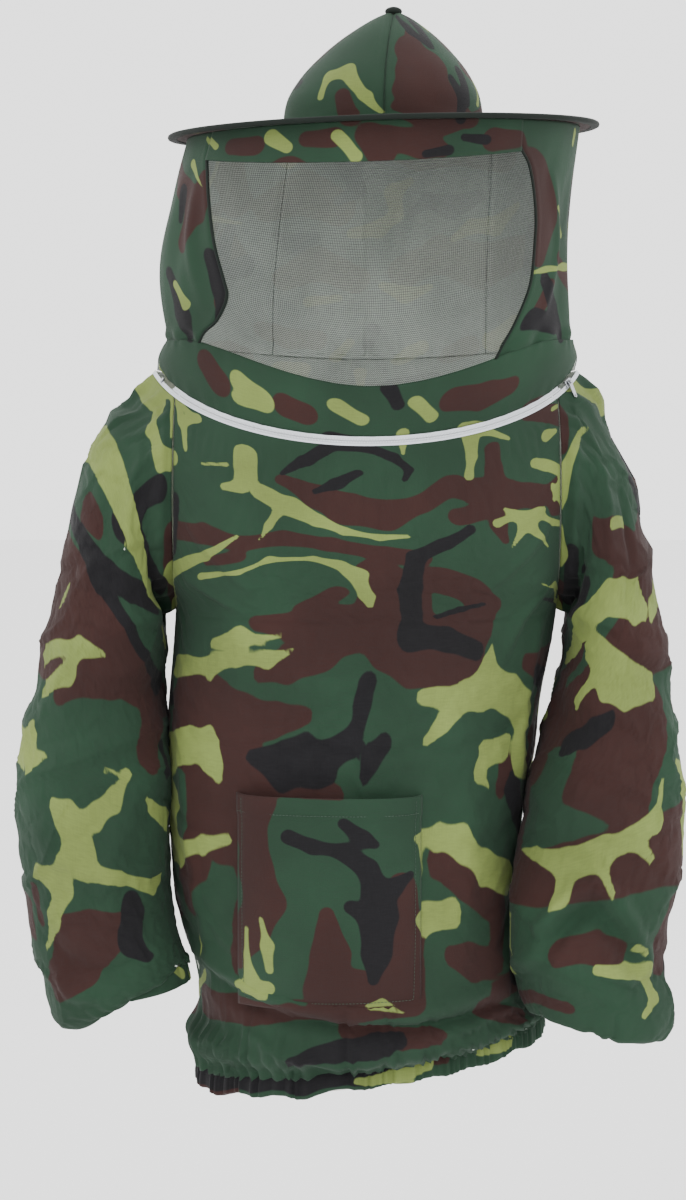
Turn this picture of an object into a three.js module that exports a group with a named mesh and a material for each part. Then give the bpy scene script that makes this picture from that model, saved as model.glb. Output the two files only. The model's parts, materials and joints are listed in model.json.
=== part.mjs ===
// Pullover beekeeping jacket with a zipped-on veil hood and a round brimmed hat.
// Millimetres, +Z up, the front faces -Y and +X is the wearer's left.
// The origin is the middle of the neckline at shoulder level, where the wearer carries the jacket.
import * as THREE from "three";

// ---- Driving dimensions -------------------------------------------------------------------
const CLOTH = 2.4; // thickness of a cloth panel with its seam allowances
const SEAM = 0.5; // gap left between two neighbours that are sewn together
const TOUCH = 0.3; // gap left between two pieces that rest on each other
const WIDE_SEAM = 0.8; // gap along a curved seam: neckline, armholes, cuffs, hem and veil foot

const BODY_LENGTH = 694; // shoulder level to the bottom of the hem
const CHEST_HALF_WIDTH = 189; // to the armhole seams
const CHEST_FRONT = 162; // front panel ahead of the origin
const CHEST_BACK = 141; // back panel behind the origin
const WAIST_SHIFT = -18; // how far the lower body hangs towards the wearer's right
const UNDERARM_DROP = 238; // shoulder level down to the bottom of the armhole

const NECK_HALF_WIDTH = 210; // neckline, shoulder point to shoulder point is twice this
const NECK_FRONT_REACH = 140;
const NECK_FRONT_DROP = 66;
const NECK_BACK_REACH = 116;
const NECK_BACK_DROP = 22;

const SLEEVE_LENGTH = 645; // shoulder point down to the lowest fold over the cuff
const SLEEVE_GIRTH = 1; // share of the drawn sleeve width
const CUFF_HEIGHT = 20;
const CUFF_HALF_WIDTH = 44;
const HEM_HEIGHT = 28;
const HEM_HALF_WIDTH = 171;
const HEM_FRONT = 142;
const HEM_BACK = 128;
const HEM_SHIFT = 4; // middle of the hem towards the wearer's left
const HEM_SLANT = 0.15; // rise of the hem towards the wearer's left
const CASING_WALL = 1.5; // one ply of a cuff or hem casing
const ELASTIC = 1.8; // thickness of the elastic in a casing

const POCKET_WIDTH = 174;
const POCKET_DEPTH = 205;
const POCKET_SHIFT = -36; // middle of the pocket from the middle of the front panel
const POCKET_TOP = 404; // below shoulder level
const POCKET_POUCH = 17; // how far the open mouth stands off the front panel

const HOOD_RISE = 235; // brim above shoulder level
const HOOD_RADIUS = 194; // where the veil is sewn under the brim
const HOOD_FOOT_HALF_WIDTH = 200; // bottom of the veil
const HOOD_FOOT_FRONT = 127;
const HOOD_FOOT_BACK = 113;
const VISOR_DEPTH = 38; // camouflage band over the face mesh, at its middle
const MESH_THICKNESS = 1.2;

const HAT_SHIFT = 17; // centre of the hat towards the wearer's left
const HAT_ROLL = 1.74; // degrees, wearer's left side up
const BRIM_RADIUS = 213.5;
const BRIM_PLY = 1.4;
const BRIM_RISE = 6; // the brim is a shallow cone, higher at the crown
const HOOP_RADIUS = 1.5; // spring wire in the rim
const BINDING = 1.0; // thickness of the tape bound round the rim
const CROWN_RADIUS = 98;
const CROWN_HEIGHT = 118;
const CROWN_LEAN = 14; // how far the peak leans towards the wearer's left
const BUTTON_RADIUS = 8;
const BAND_HEIGHT = 30; // sweatband

const TAPE_SHOWS = 4.6; // width of each zip tape that shows beside the teeth line
const TAPE = 1.0; // thickness of the zip tape
const TEETH_HALF = 1.9; // half the width of the closed row of teeth
const TEETH_HEIGHT = 1.6;
const ZIP_SPLIT = 0.2; // half the gap between the two halves
const ZIP_LEAN = 50; // degrees between the plane of the zip and the face of its tapes
const SLIDER_LENGTH = 11;
const SLIDER_CLEAR = 0.35; // running clearance round the teeth
const SLIDER_PLATE = 1.4;
const PIN_RADIUS = 1.1;
const PULL_LENGTH = 17.5;
const PULL_WIDTH = 5.5;
const PULL = 1.2; // thickness of the pull tab

// Angles round the front of the neckline, from its middle, in degrees
const ZIP_PARK = 64; // middle of the parked slider
const HOOD_TAPE_END = 60; // the hood's half stops short of the parked slider
// Angles round the hood from the front, positive to the wearer's left, in degrees
const MESH_FROM = -58;
const MESH_TO = 50;
const BACK_FROM = 143;
const BACK_TO = 210;

// ---- Small helpers ------------------------------------------------------------------------
const V = (x, y, z) => new THREE.Vector3(x, y, z);
const rad = THREE.MathUtils.degToRad;
const lerp = THREE.MathUtils.lerp;
const smooth = (x) => THREE.MathUtils.smoothstep(x, 0, 1);
const along = (points, t) => new THREE.CatmullRomCurve3(points).getPoint(t);
const steps = (n, from = 0, to = 1) =>
  Array.from({ length: n + 1 }, (_, i) => lerp(from, to, i / n));

/** Closed geometry from rows of points and triangles, turned to face out. */
function solid(points, triangles) {
  let volume = 0;
  for (const [a, b, c] of triangles) {
    volume += points[a].dot(V(0, 0, 0).crossVectors(points[b], points[c]));
  }
  const facing = volume > 0 ? triangles : triangles.map(([a, b, c]) => [a, c, b]);
  const geometry = new THREE.BufferGeometry().setFromPoints(points);
  geometry.setIndex(facing.flat());
  geometry.computeVertexNormals();
  return geometry;
}

/** Two triangles for the quad between rows i, i + 1 and columns j, k. */
const quad = (a, b, c, d) => [
  [a, b, c],
  [a, c, d],
];

/** Slope along a list of points at place i; a closed list joins its last point to its first. */
function slope(list, i, closed) {
  const n = list.length;
  if (closed || (i > 0 && i < n - 1)) {
    return list[(i + 1) % n].clone().sub(list[(i + n - 1) % n]);
  }
  const step = i === 0 ? 1 : -1;
  const [p, q, r] = [list[i], list[i + step], list[i + 2 * step]];
  const forward = q.clone().multiplyScalar(4).addScaledVector(p, -3).sub(r);
  return forward.multiplyScalar(step);
}
/**
 * A cloth shell: rows of points on its outer face, thickened towards the point inside.
 * closed joins the last column to the first, as on a sleeve.
 */
function cloth(grid, inside, thickness = CLOTH, closed = false) {
  const rows = grid.length;
  const columns = grid[0].length;
  const normals = grid.map((row, i) =>
    row.map((_, j) => {
      const down = slope(grid.map((each) => each[j]), i, false);
      return slope(row, j, closed).cross(down).normalize();
    }),
  );
  const outer = grid.flat();
  const turned = outer.reduce((sum, p, k) => sum + p.clone().sub(inside).dot(normals.flat()[k]), 0);
  const depth = -Math.sign(turned) * thickness;
  const inner = outer.map((p, k) =>
    p.clone().addScaledVector(normals[Math.floor(k / columns)][k % columns], depth),
  );
  const last = closed ? columns : columns - 1;
  const outerAt = (i, j) => i * columns + (j % columns);
  const innerAt = (i, j) => rows * columns + outerAt(i, j);
  const triangles = [];
  for (let i = 0; i < rows - 1; i++) {
    for (let j = 0; j < last; j++) {
      const face = (at) => [at(i, j), at(i, j + 1), at(i + 1, j + 1), at(i + 1, j)];
      triangles.push(...quad(...face(outerAt)), ...quad(...face(innerAt).reverse()));
    }
    if (closed) continue;
    for (const j of [0, last]) {
      const edge = [outerAt(i, j), outerAt(i + 1, j), innerAt(i + 1, j), innerAt(i, j)];
      triangles.push(...quad(...(j ? edge.reverse() : edge)));
    }
  }
  for (let j = 0; j < last; j++) {
    for (const i of [0, rows - 1]) {
      const edge = [innerAt(i, j), innerAt(i, j + 1), outerAt(i, j + 1), outerAt(i, j)];
      triangles.push(...quad(...(i ? edge.reverse() : edge)));
    }
  }
  return solid([...outer, ...inner], triangles);
}

/** A bar: the outline [[u, v], ...] carried along frames {at, u, v}, closed into a ring or capped. */
function bar(frames, outline, ring = false) {
  const count = outline.length;
  const points = frames.flatMap(({ at, u, v }) =>
    outline.map(([a, b]) => at.clone().addScaledVector(u, a).addScaledVector(v, b)),
  );
  const last = ring ? frames.length : frames.length - 1;
  const index = (i, j) => (i % frames.length) * count + (j % count);
  const triangles = [];
  for (let i = 0; i < last; i++) {
    for (let j = 0; j < count; j++) {
      triangles.push(...quad(index(i, j), index(i, j + 1), index(i + 1, j + 1), index(i + 1, j)));
    }
  }
  if (!ring) {
    const flat = outline.map(([a, b]) => new THREE.Vector2(a, b));
    const turned = THREE.ShapeUtils.isClockWise(flat);
    for (const [a, b, c] of THREE.ShapeUtils.triangulateShape(flat, [])) {
      const [p, q, r] = turned ? [a, c, b] : [a, b, c];
      triangles.push([p, r, q], [index(last, p), index(last, q), index(last, r)]);
    }
  }
  return solid(points, triangles);
}

const rectangle = (u0, u1, v0, v1) => [
  [u0, v0],
  [u1, v0],
  [u1, v1],
  [u0, v1],
];
const circle = (radius, sides, cu = 0, cv = 0) =>
  steps(sides, 0, 2 * Math.PI)
    .slice(0, sides)
    .map((a) => [cu + radius * Math.cos(a), cv + radius * Math.sin(a)]);

// ---- Neckline: a front arc that carries the zip, and a sewn back arc ---------------------------
/** A circular arc from shoulder to shoulder through a point that lies reach ahead and drop down. */
function neckArc(reach, drop, ahead) {
  const forward = ahead ? -1 : 1;
  const sagitta = Math.hypot(reach, drop);
  const radius = (NECK_HALF_WIDTH ** 2 + sagitta ** 2) / (2 * sagitta);
  const middle = V(0, (forward * reach) / sagitta, -drop / sagitta);
  const normal = V(0, -middle.z, middle.y).multiplyScalar(forward);
  if (normal.z < 0) normal.negate();
  const centre = middle.clone().multiplyScalar(sagitta - radius);
  const half = Math.acos((radius - sagitta) / radius);
  /** Unit vector from the centre out to the arc, angle radians from the middle. */
  const out = (angle) =>
    V(Math.sin(angle), 0, 0).addScaledVector(middle, Math.cos(angle));
  return { radius, centre, normal, half, out, flare: ahead ? Math.cos(rad(ZIP_LEAN)) : 0.6 };
}
const front = neckArc(NECK_FRONT_REACH, NECK_FRONT_DROP, true);
const back = neckArc(NECK_BACK_REACH, NECK_BACK_DROP, false);

/** Frame on the front arc: at the teeth line, down the face of the tapes, and out of the cloth. */
function zipFrame(angle) {
  const outward = front.out(angle);
  const down = outward.clone().multiplyScalar(Math.cos(rad(ZIP_LEAN)));
  down.addScaledVector(front.normal, -Math.sin(rad(ZIP_LEAN)));
  const face = outward.clone().multiplyScalar(Math.sin(rad(ZIP_LEAN)));
  face.addScaledVector(front.normal, Math.cos(rad(ZIP_LEAN)));
  const at = front.centre.clone().addScaledVector(outward, front.radius);
  return { at, u: down, v: face };
}
/** Point beside the neckline: share -1 to 1 from the right to the left shoulder, below the line. */
function neckPoint(arc, share, below) {
  if (arc === front) {
    const frame = zipFrame(share * front.half);
    return frame.at.addScaledVector(frame.u, below);
  }
  const outward = back.out(share * back.half);
  const fall = outward.clone().multiplyScalar(back.flare).addScaledVector(V(0, 0, -1), 0.8);
  const at = back.centre.clone().addScaledVector(outward, back.radius);
  return at.addScaledVector(fall, below);
}
const ZIP_EDGE = TAPE_SHOWS + SEAM + TOUCH; // where the cloth starts beside a tape
/** Share of a neckline at which it meets the armhole seam, at a distance below the line. */
const armholeShare = (arc, below) =>
  Math.asin(CHEST_HALF_WIDTH / (arc.radius + below * arc.flare)) / arc.half;

// ---- Jacket body --------------------------------------------------------------------------
const hemTop = -(BODY_LENGTH - HEM_HEIGHT);
const level = (share) => lerp(-UNDERARM_DROP, hemTop, share); // 0 at the underarm, 1 at the hem
/** Rows of a body half from neck to hem: middle of the panel, and its edge measured from it. */
function bodyRows(arc) {
  const ahead = arc === front;
  const reach = ahead ? -CHEST_FRONT : CHEST_BACK;
  const hem = ahead ? -HEM_FRONT : HEM_BACK;
  const neck = ahead ? ZIP_EDGE : WIDE_SEAM / 2;
  const top = neckPoint(arc, 0, neck);
  const meets = armholeShare(arc, neck);
  const corner = neckPoint(arc, meets, neck);
  const side = CHEST_HALF_WIDTH;
  const under = UNDERARM_DROP;
  const deep = reach * 0.555; // depth of the armhole
  return {
    neckAngle: meets * arc.half,
    middle: [
      top,
      V(0, lerp(top.y, reach, 0.5), -0.44 * under),
      V(0, reach * 0.98, -0.65 * under),
      V(0, reach, -0.82 * under),
      V(0, reach, -under),
      V(WAIST_SHIFT * 0.8, reach * (ahead ? 0.99 : 0.94), level(0.28)),
      V(WAIST_SHIFT, reach * (ahead ? 1.02 : 0.98), level(0.66)),
      V(HEM_SHIFT / 2, reach * 1.05, level(0.9)),
      V(HEM_SHIFT, hem, hemTop + WIDE_SEAM),
    ],
    edge: [
      corner,
      V(side, lerp(corner.y, deep, 0.86), -0.33 * under),
      V(side, deep, -0.62 * under),
      V(side, deep * 0.72, -0.84 * under),
      V(side, 0, -under),
      V(side * 0.98, 0, level(0.28)),
      V(side * 0.91, 0, level(0.66)),
      V(side * 0.895, 0, level(0.9)),
      V(HEM_HALF_WIDTH, 0, hemTop + WIDE_SEAM),
    ],
  };
}
const bodyCurves = { front: bodyRows(front), back: bodyRows(back) };
const UNDERARM_ROW = 4 / 8; // the row of the underarm among those of bodyRows
/** Point on a body panel: share -1 to 1 across it, row 0 at the neck to 1 at the hem. */
function bodyPoint(arc, share, row) {
  const curves = arc === front ? bodyCurves.front : bodyCurves.back;
  const forward = arc === front ? -1 : 1;
  const middle = along(curves.middle, row);
  const edge = along(curves.edge, row);
  edge.y = forward * Math.max(0, forward * edge.y);
  const angle = lerp(curves.neckAngle, Math.PI / 2, smooth(row / UNDERARM_ROW));
  const width = Math.sin(angle * share) / Math.sin(angle);
  const bend = (1 - Math.cos(angle * share)) / (1 - Math.cos(angle));
  const y = lerp(middle.y, edge.y, bend) + forward * (SEAM / 2) * Math.abs(share);
  const x = middle.x + edge.x * width;
  const low = Math.max(0, (row - UNDERARM_ROW) / (1 - UNDERARM_ROW)) ** 4;
  return V(x, y, lerp(middle.z, edge.z, bend) + HEM_SLANT * x * low);
}
const bodyInside = V(0, 0, -BODY_LENGTH / 2);
const bodyPanel = (arc) =>
  cloth(
    steps(16).map((row) => steps(18, -1, 1).map((share) => bodyPoint(arc, share, row))),
    bodyInside,
  );

/** Outward unit normal of a body panel. */
function bodyNormal(arc, share, row) {
  const step = 0.01;
  const across = bodyPoint(arc, share + step, row).sub(bodyPoint(arc, share - step, row));
  const down = bodyPoint(arc, share, row + step).sub(bodyPoint(arc, share, row - step));
  const normal = across.cross(down).normalize();
  return normal.y * (arc === front ? -1 : 1) < 0 ? normal.negate() : normal;
}
/** Row of the front panel's middle that lies at a height. */
function rowAt(z) {
  let [low, high] = [0, 1];
  for (let i = 0; i < 30; i++) {
    const row = (low + high) / 2;
    if (bodyPoint(front, 0, row).z > z) low = row;
    else high = row;
  }
  return low;
}
/** Share across the front panel that lies at a distance from the wearer's middle. */
function shareAt(x, row) {
  let [low, high] = [-1, 1];
  for (let i = 0; i < 30; i++) {
    const share = (low + high) / 2;
    if (bodyPoint(front, share, row).x < x) low = share;
    else high = share;
  }
  return low;
}
/** Patch pocket: sewn at its sides and bottom, open at the top. */
function pocket() {
  const across = steps(10, -1, 1);
  const down = steps(8);
  const grid = down.map((d) => {
    const row = rowAt(-POCKET_TOP - d * POCKET_DEPTH);
    return across.map((a) => {
      const share = shareAt(POCKET_SHIFT + (a * POCKET_WIDTH) / 2, row);
      const pouch = POCKET_POUCH * (1 - a ** 6) * (1 - d ** 5);
      const off = CLOTH + SEAM + pouch;
      return bodyPoint(front, share, row).addScaledVector(bodyNormal(front, share, row), off);
    });
  });
  return cloth(grid, bodyInside);
}

// ---- Casings with elastic in them -----------------------------------------------------------
/** Outline of a casing: cloth folded up on both sides of a channel that is open at the top. */
function casingOutline(height) {
  const channel = ELASTIC + 2 * TOUCH;
  const depth = channel + 2 * CASING_WALL;
  return [
    [0, 0],
    [0, -height],
    [-depth, -height],
    [-depth, 0],
    [-depth + CASING_WALL, 0],
    [-depth + CASING_WALL, CASING_WALL - height],
    [-CASING_WALL, CASING_WALL - height],
    [-CASING_WALL, 0],
  ];
}
const elasticOutline = (height) => {
  const middle = -CASING_WALL - TOUCH - ELASTIC / 2;
  const bottom = CASING_WALL + TOUCH - height;
  return rectangle(middle - ELASTIC / 2, middle + ELASTIC / 2, bottom, -2);
};
/** Frames round the bottom of the body: u out of the cloth, v up. */
const hemFrames = steps(40, 0, 2 * Math.PI)
  .slice(0, 40)
  .map((angle) => {
    const depth = Math.cos(angle) > 0 ? HEM_FRONT : HEM_BACK;
    const at = V(HEM_SHIFT + HEM_HALF_WIDTH * Math.sin(angle), -depth * Math.cos(angle), hemTop);
    at.z += HEM_SLANT * at.x;
    const u = V(Math.sin(angle) / HEM_HALF_WIDTH, -Math.cos(angle) / depth, 0).normalize();
    return { at, u, v: V(0, 0, 1) };
  });

// ---- Sleeves --------------------------------------------------------------------------------
/**
 * Stations down a sleeve, as seen from the front. out and inn are the outer and inner line, each
 * [distance outward from the armhole seam, share of the sleeve's length down], deep is half the
 * front-to-back depth, and ahead is how far the middle lies towards the front.
 */
const SLEEVES = {
  right: [
    { out: [67, 0.078], inn: [10, 0.415], deep: 90, ahead: 8 },
    { out: [94, 0.165], inn: [12, 0.455], deep: 91, ahead: 14 },
    { out: [108, 0.28], inn: [12, 0.51], deep: 87, ahead: 24 },
    { out: [130, 0.405], inn: [10, 0.58], deep: 84, ahead: 34 },
    { out: [149, 0.54], inn: [8, 0.66], deep: 84, ahead: 42 },
    { out: [155, 0.67], inn: [6, 0.745], deep: 82, ahead: 48 },
    { out: [149, 0.8], inn: [3, 0.815], deep: 78, ahead: 54 },
    { out: [134, 0.92], inn: [-2, 0.86], deep: 70, ahead: 60 },
    { out: [120, 0.985], inn: [-6, 0.883], deep: 62, ahead: 64 },
    { out: [102, 0.998], inn: [-8, 0.893], deep: 56, ahead: 66 },
  ],
  left: [
    { out: [57, 0.108], inn: [10, 0.415], deep: 89, ahead: 8 },
    { out: [80, 0.185], inn: [7, 0.455], deep: 89, ahead: 14 },
    { out: [91, 0.28], inn: [-3, 0.51], deep: 84, ahead: 26 },
    { out: [103, 0.405], inn: [-16, 0.58], deep: 80, ahead: 42 },
    { out: [115, 0.53], inn: [-32, 0.66], deep: 77, ahead: 60 },
    { out: [121, 0.65], inn: [-42, 0.745], deep: 74, ahead: 77 },
    { out: [115, 0.79], inn: [-46, 0.83], deep: 70, ahead: 87 },
    { out: [98, 0.9], inn: [-41, 0.895], deep: 66, ahead: 93 },
    { out: [111, 0.955], inn: [-34, 0.94], deep: 62, ahead: 96 },
    { out: [104, 1.005], inn: [-25, 0.965], deep: 57, ahead: 96 },
  ],
};
/** Cuffs: middle of the top as for a station, slant in degrees, and the turn-up of the sleeve. */
const CUFFS = {
  right: { centre: [34, 0.92], slant: 13, ahead: 66, outer: [6, 22], inner: [2, -4] },
  left: { centre: [33, 0.955], slant: 8, ahead: 96, outer: [6, 20], inner: [4, 7] },
};
const SIDES = { right: -1, left: 1 };

const ON_NECK = 2; // points of a sleeve's top ring that lie on each half of the neckline
const ON_SEAM = 10; // points that lie on each half of the armhole
const ROUND = 2 * (ON_NECK + ON_SEAM);
/** Top ring of a sleeve: from the shoulder point down the front of the armhole and up the back. */
function armhole() {
  const onNeck = (arc, share, gap) => neckPoint(arc, lerp(armholeShare(arc, gap), 1, share), gap);
  const onSeam = (curves, row) => along(curves.edge, row).add(V(WIDE_SEAM, 0, 0));
  const ends = (n, from, to) => steps(n, from, to).slice(0, n);
  return [
    ...ends(ON_NECK, 1, 0).map((share) => onNeck(front, share, ZIP_EDGE)),
    ...ends(ON_SEAM, 0, UNDERARM_ROW).map((row) => onSeam(bodyCurves.front, row)),
    ...ends(ON_SEAM, UNDERARM_ROW, 0).map((row) => onSeam(bodyCurves.back, row)),
    ...ends(ON_NECK, 0, 1).map((share) => onNeck(back, share, WIDE_SEAM / 2)),
  ];
}
const LEAVE = 24; // the sleeve runs on from the neckline this far before it starts to swell
/** Way that the sleeve leaves the armhole: down along the zip in front, outward elsewhere. */
function leave(p) {
  const drop = THREE.MathUtils.clamp((-p.z - 10) / 100, 0, 1) ** 0.6;
  const behind = 0.6 * THREE.MathUtils.clamp(p.y / 25, 0, 1);
  const low = Math.max(drop, behind);
  return V(lerp(0.6, 0.98, low), lerp(0.1, 0, low), lerp(-0.79, -0.2, low));
}
/** Frame of a cuff: centre, the way across it in the front view, and the way down the arm. */
function cuffFrame(name) {
  const side = SIDES[name];
  const { centre, slant, ahead } = CUFFS[name];
  const at = V(side * (CHEST_HALF_WIDTH + centre[0]), -ahead, -centre[1] * SLEEVE_LENGTH);
  const across = V(side * Math.cos(rad(slant)), 0, -Math.sin(rad(slant)));
  const down = V(-side * Math.sin(rad(slant)), 0, -Math.cos(rad(slant)));
  return { at, across, down };
}
/**
 * Ring of points round a cuff, starting outward and going round the front. outer and inner are
 * [distance outside the casing, distance below its top] at the two ends of the ring.
 */
function cuffRing(name, outer, inner) {
  const { at, across, down } = cuffFrame(name);
  return steps(ROUND, 0, 2 * Math.PI)
    .slice(0, ROUND)
    .map((a) => {
      const share = (1 + Math.cos(a)) / 2;
      const radius = CUFF_HALF_WIDTH + lerp(inner[0], outer[0], share);
      const point = at.clone().addScaledVector(across, radius * Math.cos(a));
      point.y -= radius * Math.sin(a);
      return point.addScaledVector(down, lerp(inner[1], outer[1], share));
    });
}
/** Closed rings of points down the outside of a sleeve. */
function sleeveRings(name) {
  const side = SIDES[name];
  const angles = steps(ROUND).slice(0, ROUND);
  const rim = armhole();
  const rings = [rim, rim.map((p) => p.clone().addScaledVector(leave(p), LEAVE))];
  for (const { out, inn, deep, ahead } of SLEEVES[name]) {
    const outer = V(CHEST_HALF_WIDTH + out[0] * SLEEVE_GIRTH, -ahead, -out[1] * SLEEVE_LENGTH);
    const inner = V(CHEST_HALF_WIDTH + inn[0], -ahead, -inn[1] * SLEEVE_LENGTH);
    rings.push(
      angles.map((a) => {
        const p = outer.clone().lerp(inner, (1 - Math.cos(2 * Math.PI * a)) / 2);
        return p.add(V(0, -deep * SLEEVE_GIRTH * Math.sin(2 * Math.PI * a), 0));
      }),
    );
  }
  const mirrored = rings.map((ring) => ring.map((p) => V(side * p.x, p.y, p.z)));
  const { outer, inner } = CUFFS[name];
  const half = ([out, down]) => [out / 2, down / 2];
  const sewn = [0, -WIDE_SEAM];
  const turnUp = [cuffRing(name, outer, inner), cuffRing(name, half(outer), half(inner))];
  return [...mirrored, ...turnUp, cuffRing(name, sewn, sewn)];
}
function sleeve(name) {
  const rings = sleeveRings(name);
  const lines = rings[0].map((_, j) => new THREE.CatmullRomCurve3(rings.map((ring) => ring[j])));
  const grid = steps(22).map((t) => lines.map((line) => line.getPoint(t)));
  const points = grid.flat();
  const middle = points.reduce((sum, p) => sum.add(p), V(0, 0, 0)).divideScalar(points.length);
  return cloth(grid, middle, CLOTH, true);
}
function cuffFrames(name) {
  const { down } = cuffFrame(name);
  const ring = cuffRing(name, [0, 0], [0, 0]);
  const centre = cuffFrame(name).at;
  return ring.map((at) => ({
    at,
    u: at.clone().sub(centre).normalize(),
    v: down.clone().negate(),
  }));
}

// ---- Hat ------------------------------------------------------------------------------------
const hat = new THREE.Group();
hat.position.set(HAT_SHIFT, 0, HOOD_RISE);
hat.rotation.y = -rad(HAT_ROLL);
hat.updateMatrixWorld(true);
const brimRise = (r) => (BRIM_RISE * (BRIM_RADIUS - r)) / (BRIM_RADIUS - CROWN_RADIUS);
/** A ring about the hat's axis with an outline of [radius, height]. */
const hatRing = (outline, sides = 40) =>
  bar(
    steps(sides, 0, 2 * Math.PI)
      .slice(0, sides)
      .map((a) => ({ at: V(0, 0, 0), u: V(Math.sin(a), -Math.cos(a), 0), v: V(0, 0, 1) })),
    outline,
    true,
  );
const hoopCentre = BRIM_RADIUS - BINDING - TOUCH - HOOP_RADIUS;
const plyEnd = hoopCentre - HOOP_RADIUS - TOUCH;
/** One ply of the brim, whose lower face is low above the middle of the brim's thickness. */
function brimPly(low) {
  const inner = CROWN_RADIUS - 8;
  return hatRing([
    [inner, brimRise(inner) + low],
    [plyEnd, brimRise(plyEnd) + low],
    [plyEnd, brimRise(plyEnd) + low + BRIM_PLY],
    [inner, brimRise(inner) + low + BRIM_PLY],
  ]);
}
function rimBinding() {
  const rise = brimRise(hoopCentre);
  const legs = TOUCH / 2 + BRIM_PLY + TOUCH;
  const inner = plyEnd - 4.5;
  return hatRing([
    [BRIM_RADIUS, rise + legs + BINDING],
    [inner, brimRise(inner) + legs + BINDING],
    [inner, brimRise(inner) + legs],
    [BRIM_RADIUS - BINDING, rise + legs],
    [BRIM_RADIUS - BINDING, rise - legs],
    [inner, brimRise(inner) - legs],
    [inner, brimRise(inner) - legs - BINDING],
    [BRIM_RADIUS, rise - legs - BINDING],
  ]);
}
const crownFoot = brimRise(CROWN_RADIUS) + TOUCH / 2 + BRIM_PLY + SEAM;
/** Half section of the crown: [share of its radius, share of its height]. */
const CROWN_PROFILE = [
  [1, 0],
  [0.995, 0.1],
  [0.955, 0.25],
  [0.835, 0.43],
  [0.665, 0.6],
  [0.46, 0.76],
  [0.22, 0.905],
  [0.06, 0.98],
];
/** One of the four gores, from its seam at from degrees to the next. */
function crownGore(from) {
  const profile = CROWN_PROFILE.map(([r, h]) => V(r, h, 0));
  const grid = steps(8).map((t) => {
    const { x: share, y: up } = along(profile, t);
    const radius = CROWN_RADIUS * share;
    const gap = SEAM / 2 / radius;
    return steps(6, rad(from) + gap, rad(from + 90) - gap).map((a) =>
      V(
        radius * Math.sin(a) + CROWN_LEAN * up ** 2,
        -radius * Math.cos(a),
        crownFoot + CROWN_HEIGHT * up,
      ),
    );
  });
  return cloth(grid, V(0, 0, crownFoot));
}
function crownButton() {
  const height = BUTTON_RADIUS * 0.5;
  const dome = steps(6, 0, Math.PI / 2).map(
    (a) => new THREE.Vector2(BUTTON_RADIUS * Math.cos(a), height * Math.sin(a)),
  );
  return new THREE.LatheGeometry([new THREE.Vector2(0, 0), ...dome], 14).rotateX(Math.PI / 2);
}
const sweatband = () => {
  const outer = CROWN_RADIUS - 8 - TOUCH;
  const top = crownFoot + BAND_HEIGHT - 4;
  return hatRing(rectangle(outer - 1.6, outer, top - BAND_HEIGHT, top));
};

// ---- Hood: visor band, face mesh, side panels and back, between the brim and the yoke -----------
const veilTop = (a) => {
  const under = brimRise(HOOD_RADIUS) - TOUCH / 2 - BRIM_PLY - 2 * SEAM;
  const local = V(HOOD_RADIUS * Math.sin(a), -HOOD_RADIUS * Math.cos(a), under);
  return local.applyMatrix4(hat.matrixWorld);
};
const VEIL_FOOT_FRONT = -18; // height of the veil's foot at the middle of the front
const VEIL_FOOT_SIDE = 26;
const VEIL_FOOT_BACK = 10;
function veilFoot(a) {
  const turn = Math.abs(THREE.MathUtils.radToDeg(Math.atan2(Math.sin(a), Math.cos(a))));
  const depth = turn < 90 ? HOOD_FOOT_FRONT : HOOD_FOOT_BACK;
  const z =
    turn < 90
      ? lerp(VEIL_FOOT_FRONT, VEIL_FOOT_SIDE, smooth(turn / 64))
      : lerp(VEIL_FOOT_SIDE, VEIL_FOOT_BACK, smooth((turn - 90) / 90));
  return V(4 + HOOD_FOOT_HALF_WIDTH * Math.sin(a), -depth * Math.cos(a), z);
}
/** Point on the veil: angle from the front, share 0 under the brim to 1 at the foot. */
function veilPoint(a, share) {
  const top = veilTop(a);
  const foot = veilFoot(a);
  const outward = V(Math.sin(a), -Math.cos(a), 0);
  const swell = -Math.sin(a) * 9 + 3; // fuller on the wearer's right
  const knot = (s, push) => top.clone().lerp(foot, s).addScaledVector(outward, push);
  const knots = [top, knot(0.34, swell), knot(0.7, swell * 1.2), foot];
  return along(knots, share);
}
/** A piece of the veil between two angles and two shares of its height. */
function veilPanel(from, to, topShare, footShare, thickness, across, down = 7) {
  const gap = THREE.MathUtils.radToDeg(SEAM / 2 / HOOD_RADIUS);
  const grid = steps(down).map((t) =>
    steps(across, from + gap, to - gap).map((degrees) =>
      veilPoint(rad(degrees), lerp(topShare(degrees), footShare(degrees), t)),
    ),
  );
  return cloth(grid, V(0, 0, HOOD_RISE / 2), thickness);
}
const atTop = () => 0;
const atFoot = () => 1;
/** Bottom of the visor band as a share of the veil: deepest in the middle. */
function visorFoot(degrees) {
  const turn = (degrees - (MESH_FROM + MESH_TO) / 2) / ((MESH_TO - MESH_FROM) / 2);
  const wall = veilPoint(0, 0).distanceTo(veilPoint(0, 1));
  return (VISOR_DEPTH / wall) * (1 - 0.3 * turn ** 2);
}
const below = (foot) => (degrees) => foot(degrees) + SEAM / 250;

/** Yoke between the foot of the veil and the neckline, over the front or the back half. */
function yoke(arc) {
  const ahead = arc === front;
  const neck = ahead ? -ZIP_EDGE : -WIDE_SEAM / 2;
  const end = 1 - SEAM / 2 / NECK_HALF_WIDTH;
  const grid = steps(5).map((t) =>
    steps(26, -end, end).map((share) => {
      const turn = rad(ahead ? 90 * share : 180 - 90 * share);
      const top = veilFoot(turn).add(V(0, 0, -1.5 * WIDE_SEAM));
      return top.lerp(neckPoint(arc, share * 0.99, neck), t);
    }),
  );
  return cloth(grid, V(0, 0, -NECK_FRONT_DROP));
}

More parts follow.
